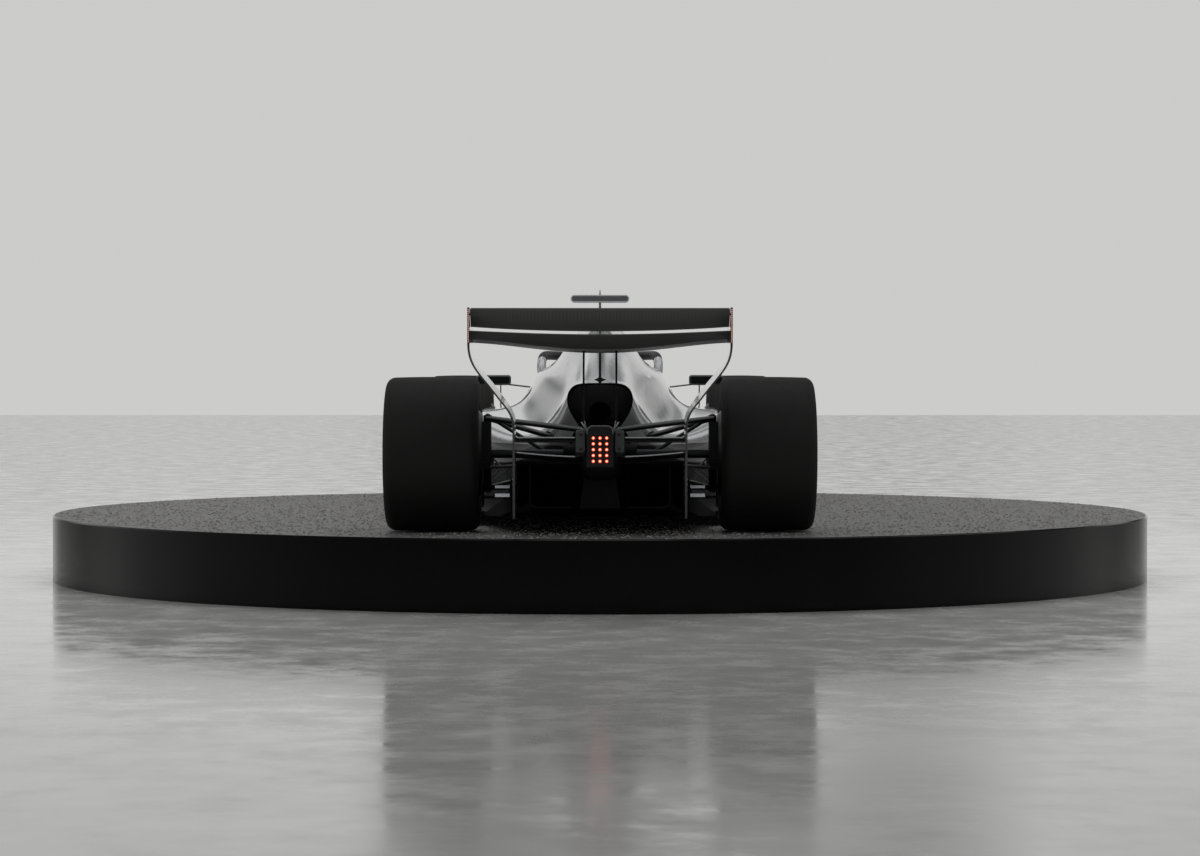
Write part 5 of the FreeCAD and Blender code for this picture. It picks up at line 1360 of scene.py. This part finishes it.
@dataclass
class Underbody:
    """Floor stays and edge strip, skid pads, painted highlights on the duct blades' edges and the diffuser's
    brackets.
    """

    floor_top: float = 72.0
    floor_half: float = 790.0
    blade_inner: float = 416.0
    blade_outer: float = 484.0
    blade_back: float = -220.0
    blades: tuple[tuple[float, float], ...] = ((214.0, 13.0), (175.0, 16.0))
    strip_stations: tuple[float, ...] = (2300, 1900, 1500, 1200, 960)
    stay_stations: tuple[float, ...] = (1050, 1350)
    pad_stations: tuple[float, ...] = (600, 1300, 2000, 2850)
    pad_across: float = 90.0
    fork_across: float = 160.0
    fork_foot: float = 334.0
    fork_tip: float = 348.0

    def build(self) -> None:
        """Make the underbody's details."""
        edge = Piece("floor_edge_strip", CARBON_GLOSS)
        for side in SIDES.values():
            path = [car(side * (self.floor_half - 40), along, self.floor_top + 14)
                    for along in self.strip_stations]
            edge.swept(path, 5.0, 15.0, UP, around=8, square=0.5)
        edge.made()
        self.stays()
        self.brackets()
        self.plank_bolts()
        self.blade_edge_highlights()

    def blade_edge_highlights(self) -> None:
        """Polished strips on the rear edges of the brake ducts' blades, leaning back to face up: painted
        highlights along those edges.
        """
        strips = Piece("duct_blade_edge_highlights", BRIGHT_ALLOY)
        for side in SIDES.values():
            for up, tall in self.blades:
                lean = tall * 0.5
                ends = [side * self.blade_inner, side * self.blade_outer]
                outline = [car(ends[0], self.blade_back - lean, up - tall / 2),
                           car(ends[1], self.blade_back - lean, up - tall / 2),
                           car(ends[1], self.blade_back, up + tall / 2),
                           car(ends[0], self.blade_back, up + tall / 2)]
                strips.slab(outline, Vector((0, 1.5, -0.8)) * MM)
        strips.made(bevel=0.4)

    def stays(self) -> None:
        """Thin tie rods from the bodywork to the floor's edge."""
        rods = Piece("floor_stays", STEEL)
        flank = Surface("engine_cover")
        for side in SIDES.values():
            for along in self.stay_stations:
                found = flank.hit(car(side * 900, along, 250), Vector((-side, 0, 0)))
                if found:
                    foot = car(side * (self.floor_half - 90), along, self.floor_top - 2)
                    rods.swept([foot, found[0]], 3.0, 3.0, AHEAD, around=10)
        rods.made()

    def brackets(self) -> None:
        """Small forked brackets on the diffuser's top edge."""
        forks = Piece("diffuser_brackets", BRIGHT_ALLOY)
        back = (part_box("diffuser")[0][1] - AXLE) / MM
        for side in SIDES.values():
            for tip in (-12, 12):
                foot = side * self.fork_across
                forks.swept([car(foot, back + 4, self.fork_foot), car(foot + tip, back + 4, self.fork_tip)],
                            2.5, 3.0, AHEAD, around=8)
        forks.made()

    def plank_bolts(self) -> None:
        """Skid pads let into the plank."""
        pads = Piece("plank_skid_pads", BOLT_STEEL)
        low = (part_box("plank")[0][2] - GROUND) / MM
        for along in self.pad_stations:
            for side in SIDES.values():
                pads.turned(car(side * self.pad_across, along, low + 1), -UP,
                            [(-1, 30), (1.5, 30), (2.2, 28), (2.2, 0)], 24)
        pads.made()


@dataclass
class Mirrors:
    """Glass of both wing mirrors."""

    across: float = 582.0
    up: float = 696.0
    station: float = 2620.0
    half_wide: float = 84.0
    half_high: float = 20.0

    def build(self) -> None:
        """Make the glasses."""
        for name, side in SIDES.items():
            glass = Piece(f"mirror_glass_{name}", MIRROR_GLASS)
            outline = [car(side * self.across + across, self.station + 0.5, self.up + up)
                       for across, up in rounded(self.half_wide, self.half_high, 9)]
            glass.slab(outline, Vector((0, -1.4 * MM, 0)))
            glass.made(smooth=False)


@dataclass
class Cockpit:
    """Display, knobs and paddles of the steering wheel, the padded headrest and the harness."""

    station: float = 2560.0
    height: float = 585.0
    strap: float = 25.0
    voxel: float = 6.0
    shrink: float = 4.0
    pressure: float = 4.0
    settle_frames: int = 20
    swell_cap: float = 9.0
    pad_middle: float = 2140.0
    column_foot: tuple[float, float] = (3430.0, 405.0)
    knobs: tuple[tuple[float, float], ...] = ((-32, -32), (0, -32), (32, -32))
    buttons: tuple[tuple[float, float], ...] = ((64, 34), (80, 22), (64, 10), (80, -4), (64, -18), (80, -32))
    paddle: tuple[tuple[float, float], ...] = ((40, 18), (112, 34), (124, 6), (108, -18), (40, -8))

    def build(self) -> None:
        """Make the cockpit's details."""
        target = car(0, *self.column_foot)
        self.centre = car(0, self.station, self.height)
        self.axis = (target - self.centre).normalized()
        self.rise = Vector((1, 0, 0)).cross(self.axis).normalized()
        self.wheel()
        self.headrest()
        self.harness()

    def on_wheel(self, across: float, up: float, toward_driver: float) -> Vector:
        """Point on the steering wheel's face.

        Args:
            across: Millimetres to the right.
            up: Millimetres up the face.
            toward_driver: Millimetres from the face towards the driver.

        Returns:
            The world point.
        """
        return (self.centre + Vector((across * MM, 0, 0)) + self.rise * up * MM
                - self.axis * (10 + toward_driver) * MM)

    def wheel(self) -> None:
        """Blank display, knobs, buttons and shift paddles."""
        screen = Piece("wheel_display", SCREEN, "hand_wheel")
        screen.slab([self.on_wheel(across, 12 + up, -1) for across, up in rounded(44, 25, 4)],
                    -self.axis * 2.5 * MM)
        screen.made(bevel=0.4)
        rim = Piece("wheel_display_rim", GRIP, "hand_wheel")
        rings = [[self.on_wheel(across, 12 + up, lift) for across, up in rounded(half_wide, half_high, 5)]
                 for half_wide, half_high, lift in ((49, 30, -1), (49, 30, 3), (44.5, 25.5, 3),
                                                    (44.5, 25.5, -1))]
        rim.skin(rings + [rings[0]], capped=False)
        rim.made()
        knobs = Piece("wheel_knobs", KNOB, "hand_wheel")
        for across, up in self.knobs:
            knobs.turned(self.on_wheel(across, up, -1), -self.axis,
                         [(0, 9), (7, 8), (8, 7), (8, 0)], 14)
        knobs.made(bevel=0.4)
        buttons = Piece("wheel_buttons", BRIGHT_ALLOY, "hand_wheel")
        for side in SIDES.values():
            for across, up in self.buttons:
                buttons.turned(self.on_wheel(side * across, up, -1), -self.axis,
                               [(0, 5.5), (3, 5.5), (4.2, 4.5), (4.6, 0)], 16)
        buttons.made()
        paddles = Piece("shift_paddles", CARBON_GLOSS, "hand_wheel")
        for side in SIDES.values():
            outline = [self.on_wheel(side * across, up, -40) for across, up in self.paddle]
            paddles.slab(outline, self.axis * 3 * MM)
        paddles.made(bevel=0.8)

    def headrest(self) -> None:
        """Foam headrest in its woven cover, swelled as cloth, with piping along its upper edge."""
        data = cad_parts["headrest"].data.copy()
        data.name = "headrest_pad"
        data.materials.clear()
        data.materials.append(FOAM_COVER.material())
        pad = placed("headrest_pad", data)
        merge = pad.modifiers.new("joined_faces", "WELD")
        merge.merge_threshold = 0.0005
        remesh = pad.modifiers.new("even_faces", "REMESH")
        remesh.mode = "VOXEL"
        remesh.voxel_size = self.voxel * MM
        relax = pad.modifiers.new("eased_edges", "SMOOTH")
        relax.factor = 0.6
        relax.iterations = 10
        smaller = pad.modifiers.new("smaller", "DISPLACE")
        smaller.strength = -self.shrink * MM
        smaller.mid_level = 0.0
        self.bake(pad)
        self.swell(pad)
        finer = pad.modifiers.new("finer", "SUBSURF")
        finer.levels = 1
        self.bake(pad)
        pad.data.shade_smooth()
        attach(pad, ROOT)
        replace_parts(pad, "headrest")
        self.piping(pad.data)

    @staticmethod
    def bake(pad: bpy.types.Object) -> None:
        """Keep what the pad's modifiers make of it, and drop them."""
        depsgraph = bpy.context.evaluated_depsgraph_get()
        shaped = bpy.data.meshes.new_from_object(pad.evaluated_get(depsgraph))
        pad.modifiers.clear()
        pad.data = shaped

    def swell(self, pad: bpy.types.Object) -> None:
        """Fill the cover with pressure from inside and let its cloth settle, each point within a cap.

        Args:
            pad: The pad, of even faces and a little smaller than its foam.
        """
        start = [corner.co.copy() for corner in pad.data.vertices]
        cloth = pad.modifiers.new("cover_cloth", "CLOTH")
        cloth.settings.use_pressure = True
        cloth.settings.uniform_pressure_force = self.pressure
        cloth.settings.effector_weights.gravity = 0.0
        for step in range(1, self.settle_frames + 1):
            bpy.context.scene.frame_set(step)
        self.bake(pad)
        bpy.context.scene.frame_set(1)
        cap = self.swell_cap * MM
        for corner, before in zip(pad.data.vertices, start):
            moved = corner.co - before
            if moved.length > cap:
                corner.co = before + moved.normalized() * cap

    def piping(self, shaped: bpy.types.Mesh) -> None:
        """Sewn cord along the middle of the pad's top.

        Args:
            shaped: The finished pad.
        """
        top = BVHTree.FromPolygons([corner.co.copy() for corner in shaped.vertices],
                                   [tuple(face.vertices) for face in shaped.polygons])
        seam = Piece("headrest_piping", WEBBING)
        path = []
        for step in range(61):
            angle = math.radians(-160 + 320 * step / 60 - 90)
            ray = Vector((math.cos(angle), math.sin(angle), 0))
            for reach in range(100, 330, 2):
                start = car(0, self.pad_middle, 800) + ray * reach * MM
                place, _, _, _ = top.ray_cast(start, DOWN)
                if place is not None:
                    outward = top.ray_cast(start + ray * 30 * MM, DOWN)[0]
                    path.append(outward if outward is not None else place)
                    break
        if len(path) > 8:
            seam.swept([spot + UP * 0.6 * MM for spot in path], 2.2, 2.2, UP, around=8)
            seam.made()

    def harness(self) -> None:
        """Six straps of webbing over the empty seat, meeting in a turning buckle."""
        straps = Piece("harness_straps", WEBBING)
        routes = []
        for side in SIDES.values():
            routes.append([(side * 78, 2085, 566), (side * 76, 2104, 540), (side * 70, 2134, 430),
                           (side * 58, 2168, 300), (side * 40, 2215, 190), (side * 24, 2290, 166)])
            routes.append([(side * 172, 2180, 186), (side * 140, 2200, 172), (side * 90, 2250, 166),
                           (side * 30, 2300, 164)])
            routes.append([(side * 34, 2480, 150), (side * 26, 2420, 154), (side * 14, 2350, 160)])
        for route in routes:
            straps.swept([car(*point) for point in self.eased(route)], self.strap, 1.2,
                         Vector((0, 0.4, 1)), around=8, square=0.4)
        straps.made()
        buckle = Piece("harness_buckle", BRIGHT_ALLOY)
        buckle.turned(car(0, 2310, 164), UP, [(0, 30), (9, 30), (12, 27), (12, 18), (17, 16), (19, 12),
                                              (19, 0)], 28)
        buckle.made(bevel=0.6)
        slides = Piece("harness_adjusters", BOLT_STEEL)
        for side in SIDES.values():
            place = car(side * 66, 2146, 388)
            slides.slab([place + Vector((wide * MM, -deep * MM * 0.3, high * MM)) for wide, deep, high in
                         ((-30, 8, -14), (30, 8, -14), (30, -8, 14), (-30, -8, 14))],
                        Vector((0, 5 * MM, 3 * MM)))
        slides.made(bevel=1.2)

    @staticmethod
    def eased(route: Sequence[tuple[float, float, float]]) -> list[tuple[float, float, float]]:
        """Round a strap's route off at its bends, twice over."""
        points = list(route)
        for _ in range(2):
            softer = [points[0]]
            for first, second in zip(points, points[1:]):
                softer.append(tuple(a * 0.75 + b * 0.25 for a, b in zip(first, second)))
                softer.append(tuple(a * 0.25 + b * 0.75 for a, b in zip(first, second)))
            softer.append(points[-1])
            points = softer
        return points


@dataclass
class UpperFittings:
    """Skin, lenses and a painted edge highlight of the camera pod, and the speed probe on the nose."""

    up: float = 1120.0
    station: float = 1700.0
    pod_high: float = 36.0
    lens_across: float = 112.0
    lens_ahead: float = 56.0
    probe_along: float = 4150.0

    def build(self) -> None:
        """Make the fittings."""
        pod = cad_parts["camera_pod"]
        pod.data.materials.append(POD_GREY.material())
        for face in pod.data.polygons:
            face.material_index = 1 if face.center.z > (self.up - 21) * MM + GROUND else 0
        self.pod_edge_highlight()
        lenses = Piece("camera_lenses", SCREEN)
        bezels = Piece("camera_bezels", BOLT_STEEL)
        for side in SIDES.values():
            place = car(side * self.lens_across, self.station + self.lens_ahead, self.up)
            bezels.turned(place, AHEAD, [(0, 13), (7, 13), (8, 12), (8, 9.5), (5, 9)], 20)
            lenses.turned(place + AHEAD * 4 * MM, AHEAD, [(0, 9.2), (1.5, 8.5), (2.6, 5), (3, 0)], 20)
        bezels.made()
        lenses.made()
        self.probe()

    def pod_edge_highlight(self) -> None:
        """Pale strip round the camera pod's rear face: a painted highlight along its edges."""
        trim = Piece("camera_pod_edge_highlight", POD_EDGE_HIGHLIGHT)
        low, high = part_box("camera_pod")
        back = (low[1] - AXLE) / MM
        rise = self.pod_high / 2 - 2
        outline = rounded(high[0] / MM - 2.5, rise, rise - 1, 5)
        path = [car(across, back - 0.4, self.up + up) for across, up in outline]
        trim.swept(path + path[:2], 1.0, 3.2, Vector((0.01, 0.01, 1)), around=8)
        trim.made()

    def probe(self) -> None:
        """Speed probe on the nose."""
        probe = Piece("nose_speed_probe", STEEL)
        nose = Surface("nose_cone")
        found = nose.hit(car(0, self.probe_along, 900), DOWN)
        if found:
            foot = found[0]
            probe.swept([foot - UP * 2 * MM, foot + UP * 26 * MM, foot + Vector((0, 8, 34)) * MM,
                         foot + Vector((0, 20, 37)) * MM, foot + Vector((0, 62, 37)) * MM], 2.6, 2.6,
                        Vector((1, 0, 0)), around=10)
            probe.made()


@dataclass
class Display:
    """Metal strip round the plinth's deck, and the deck's loose grit."""

    radius: float = 2.87
    height: float = 0.334
    strip_outer: float = 0.0085
    strip_inner: float = 0.0125
    strip_proud: float = 0.0004
    strip_deep: float = 0.002
    deck_edge: float = 0.022
    chips: int = 19500
    seed: int = 11
    chip_sizes: tuple[float, float] = (3.5, 8.0)
    chip_shares: tuple[float, float] = (0.35, 0.7)
    chip_leans: tuple[float, float] = (-0.2, 0.2)
    chip_narrow: float = 0.8
    chip_sunk: float = 0.6
    tyre_room: float = 0.25
    tyre_spots: tuple[tuple[float, float], ...] = ((800.0, 0.0), (815.0, 3550.0))

    def build(self) -> None:
        """Make the strip and the grit."""
        trim = Piece("plinth_rim_trim", RIM_METAL)
        rings = []
        for step in range(240):
            angle = 2 * math.pi * step / 240
            out = Vector((math.cos(angle), math.sin(angle), 0))
            rings.append([out * (self.radius - inward) + UP * (self.height + rise) for inward, rise in (
                (self.strip_inner, self.strip_proud), (self.strip_outer, self.strip_proud),
                (self.strip_outer, -self.strip_deep), (self.strip_inner, -self.strip_deep))])
        trim.skin(rings + [rings[0]], capped=False)
        trim.made()
        self.grit()

    def grit(self) -> None:
        """Stone chips that stand out of the deck, kept clear of the tyres."""
        chips = Piece("deck_grit", GRIT)
        draw = random.Random(self.seed)
        patches = [car(side * across, along, 0) for side in SIDES.values()
                   for across, along in self.tyre_spots]
        for _ in range(self.chips):
            reach = (self.radius - self.deck_edge) * math.sqrt(draw.random())
            angle = draw.uniform(0, 2 * math.pi)
            foot = Vector((reach * math.cos(angle), reach * math.sin(angle), GROUND - self.chip_sunk * MM))
            size = draw.uniform(*self.chip_sizes) * MM
            turn = draw.uniform(0, math.pi)
            lift = UP * size * draw.uniform(*self.chip_shares)
            lean = Vector((draw.uniform(*self.chip_leans), draw.uniform(*self.chip_leans), 0)) * size
            narrow = draw.uniform(*self.chip_shares)
            if any((foot - patch).length < self.tyre_room for patch in patches):
                continue
            spokes = [Vector((math.cos(turn + quarter * math.pi / 2),
                              math.sin(turn + quarter * math.pi / 2) * self.chip_narrow, 0)) * size
                      for quarter in range(4)]
            base = [chips.mesh.verts.new(foot + spoke) for spoke in spokes]
            top = [chips.mesh.verts.new(foot + lift + lean + spoke * narrow) for spoke in spokes]
            chips.mesh.faces.new(top)
            for quarter in range(4):
                after = (quarter + 1) % 4
                chips.mesh.faces.new((base[quarter], base[after], top[after], top[quarter]))
        chips.made(smooth=False)


# Studio


@dataclass
class Studio:
    """Plain pale room with soft light and the camera of the photograph."""

    camera_back: float = 17.39
    camera_height: float = 1.091
    camera_pitch: float = 1.033
    lens: float = 98.2
    sensor: float = 36.0
    floor_half: float = 60.0
    floor_colour: str = "#A9A9A8"
    floor_dark: str = "#9E9E9D"
    wall_colour: str = "#CCCCCB"
    world_strength: float = 1.0
    room_walls: tuple[tuple[float, str], ...] = ((0.0, "#262626"), (0.25, "#565656"), (0.5, "#9A9A9A"),
                                                 (0.75, "#C2C2C1"), (1.0, "#D4D4D3"))
    room_ceiling: tuple[tuple[float, str], ...] = ((0.15, "#B8B8B8"), (0.35, "#E2E2E2"), (0.5, "#A4A4A4"),
                                                   (0.64, "#C8C8C8"), (0.85, "#FFFFFF"))
    room_bands: tuple[tuple[float, str], ...] = ((0.42, "#6A6A6A"), (0.56, "#FFFFFF"))
    room_panels: tuple[tuple[float, str], ...] = ((0.28, "#FFFFFF"), (0.48, "#7C7C7C"), (0.74, "#7C7C7C"),
                                                  (0.9, "#FFFFFF"))

    def build(self) -> None:
        """Set up view, floor, backdrop, lamps and camera."""
        bpy.context.scene.view_settings.view_transform = "Standard"
        self.floor()
        self.world()
        self.lamps()
        self.camera()

    def floor(self) -> None:
        """Wide polished pale floor."""
        mesh = bpy.data.meshes.new("studio_floor")
        corners = [(across * self.floor_half, along * self.floor_half, 0)
                   for across, along in ((-1, -1), (1, -1), (1, 1), (-1, 1))]
        mesh.from_pydata(corners, [], [(0, 1, 2, 3)])
        floor = placed("studio_floor", mesh)
        made, tree, shader = started("pale_polished_concrete")
        place = add(tree, "ShaderNodeTexCoord").outputs["Object"]
        worn = add(tree, "ShaderNodeTexNoise", inputs={"Vector": place, "Scale": 3.5, "Detail": 7.0,
                                                       "Roughness": 0.7})
        polish = add(tree, "ShaderNodeMapRange", inputs={
            "Value": worn.outputs["Fac"], "From Min": 0.35, "From Max": 0.65, "To Min": 0.06, "To Max": 0.22})
        tree.links.new(polish.outputs["Result"], shader.inputs["Roughness"])
        cloud = add(tree, "ShaderNodeTexNoise", inputs={"Vector": place, "Scale": 1.5, "Detail": 6.0})
        colour = add(tree, "ShaderNodeValToRGB", inputs={"Fac": cloud.outputs["Fac"]},
                     stops=[(0.3, self.floor_dark), (0.7, self.floor_colour)])
        tree.links.new(colour.outputs["Color"], shader.inputs["Base Color"])
        mesh.materials.append(made)

    def room(self, tree: bpy.types.NodeTree) -> bpy.types.NodeSocket:
        """Room that shows in reflections: darker behind the camera, with soft bands and a bright ceiling.

        Args:
            tree: The world's node tree.

        Returns:
            The room's colour by the direction that a reflection looks in.
        """
        toward = add(tree, "ShaderNodeTexCoord").outputs["Generated"]
        parts = add(tree, "ShaderNodeSeparateXYZ", inputs={"Vector": toward})
        forward = add(tree, "ShaderNodeMapRange", inputs={"Value": parts.outputs["Y"], "From Min": -1.0})
        walls = add(tree, "ShaderNodeValToRGB", inputs={"Fac": forward.outputs["Result"]},
                    stops=self.room_walls)
        ceiling = add(tree, "ShaderNodeValToRGB", inputs={"Fac": parts.outputs["Z"]},
                      stops=self.room_ceiling)
        aside = add(tree, "ShaderNodeMath", {"operation": "ABSOLUTE"}, {0: parts.outputs["X"]})
        panels = add(tree, "ShaderNodeValToRGB", inputs={"Fac": aside.outputs[0]}, stops=self.room_panels)
        panelled = add(tree, "ShaderNodeMixRGB", {"blend_type": "MULTIPLY"}, {
            "Fac": 1.0, "Color1": walls.outputs["Color"], "Color2": panels.outputs["Color"]})
        overhead = add(tree, "ShaderNodeMapRange", {"interpolation_type": "SMOOTHSTEP"}, {
            "Value": parts.outputs["Z"], "From Min": 0.12, "From Max": 0.34})
        lit = add(tree, "ShaderNodeMixRGB", inputs={
            "Fac": overhead.outputs["Result"], "Color1": panelled.outputs["Color"],
            "Color2": ceiling.outputs["Color"]})
        spread = add(tree, "ShaderNodeVectorMath", {"operation": "MULTIPLY"},
                     {0: toward, 1: (3.0, 1.0, 0.8)})
        soft = add(tree, "ShaderNodeTexNoise", inputs={"Vector": spread.outputs[0], "Scale": 2.6,
                                                       "Detail": 0.5})
        bands = add(tree, "ShaderNodeValToRGB", inputs={"Fac": soft.outputs["Fac"]}, stops=self.room_bands)
        raised = add(tree, "ShaderNodeMapRange", inputs={
            "Value": parts.outputs["Z"], "From Min": 0.06, "From Max": 0.16})
        banded = add(tree, "ShaderNodeMixRGB", {"blend_type": "MULTIPLY"}, {
            "Fac": raised.outputs["Result"], "Color1": lit.outputs["Color"],
            "Color2": bands.outputs["Color"]})
        return banded.outputs["Color"]

    def world(self) -> None:
        """Pale surroundings for the camera, and the room for what mirrors it."""
        world = bpy.data.worlds.new("pale_room")
        bpy.context.scene.world = world
        world.use_nodes = True
        tree = world.node_tree
        sky = tree.nodes["Background"]
        sky.inputs["Color"].default_value = linear(self.wall_colour)
        sky.inputs["Strength"].default_value = self.world_strength
        seen = add(tree, "ShaderNodeBackground", inputs={"Color": linear(self.wall_colour), "Strength": 1.0})
        mirrored = add(tree, "ShaderNodeBackground", inputs={"Color": self.room(tree), "Strength": 1.0})
        path = add(tree, "ShaderNodeLightPath")
        with_room = add(tree, "ShaderNodeMixShader", inputs={
            "Fac": path.outputs["Is Glossy Ray"], 1: sky.outputs[0], 2: mirrored.outputs[0]})
        direct = add(tree, "ShaderNodeMath", {"operation": "MAXIMUM"}, {
            0: path.outputs["Is Camera Ray"], 1: path.outputs["Is Transmission Ray"]})
        mix = add(tree, "ShaderNodeMixShader", inputs={
            "Fac": direct.outputs[0], 1: with_room.outputs[0], 2: seen.outputs[0]})
        tree.links.new(mix.outputs[0], tree.nodes["World Output"].inputs["Surface"])

    def lamps(self) -> None:
        """Large soft boxes above and beside the car."""
        boxes = [
            ("overhead_softbox", (0.0, 1.0, 7.0), (0.0, 0.0, 0.5), 7.0, 380.0),
            ("left_softbox", (-8.0, -4.0, 4.5), (0.0, -0.5, 0.7), 5.0, 170.0),
            ("right_softbox", (8.0, -2.0, 4.5), (0.0, -0.5, 0.7), 5.0, 170.0),
        ]
        for name, place, target, size, power in boxes:
            light = bpy.data.lights.new(name, "AREA")
            light.shape = "RECTANGLE"
            light.size = size
            light.size_y = size * 0.6
            light.energy = power
            lamp = placed(name, light)
            lamp.location = place
            lamp.rotation_euler = (Vector(target) - Vector(place)).to_track_quat("-Z", "Y").to_euler()
            lamp.visible_glossy = False

    def camera(self) -> None:
        """Camera behind the car, a little above the wing, looking very slightly down."""
        data = bpy.data.cameras.new("photo_camera")
        data.lens = self.lens
        data.sensor_width = self.sensor
        camera = placed("photo_camera", data)
        camera.location = (0.0, -self.camera_back, self.camera_height)
        camera.rotation_euler = (math.radians(90 - self.camera_pitch), 0.0, 0.0)
        bpy.context.scene.camera = camera


def main() -> None:
    """Build the studio and every piece of the car's looks, in order."""
    logging.basicConfig(level=logging.INFO, format="%(message)s")
    Studio().build()
    dress_nodes()
    parts = [
        Shading(), Display(), RearLamp(), RearWing(),
        Wheel("rear", 0.0, 2000.0), Wheel("front", 3550.0, 1960.0),
        Linkage(), Bodywork(), FrontWing(), Underbody(), Mirrors(), Cockpit(), UpperFittings(),
    ]
    for part in parts:
        part.build()


if __name__ == "__main__":
    main()
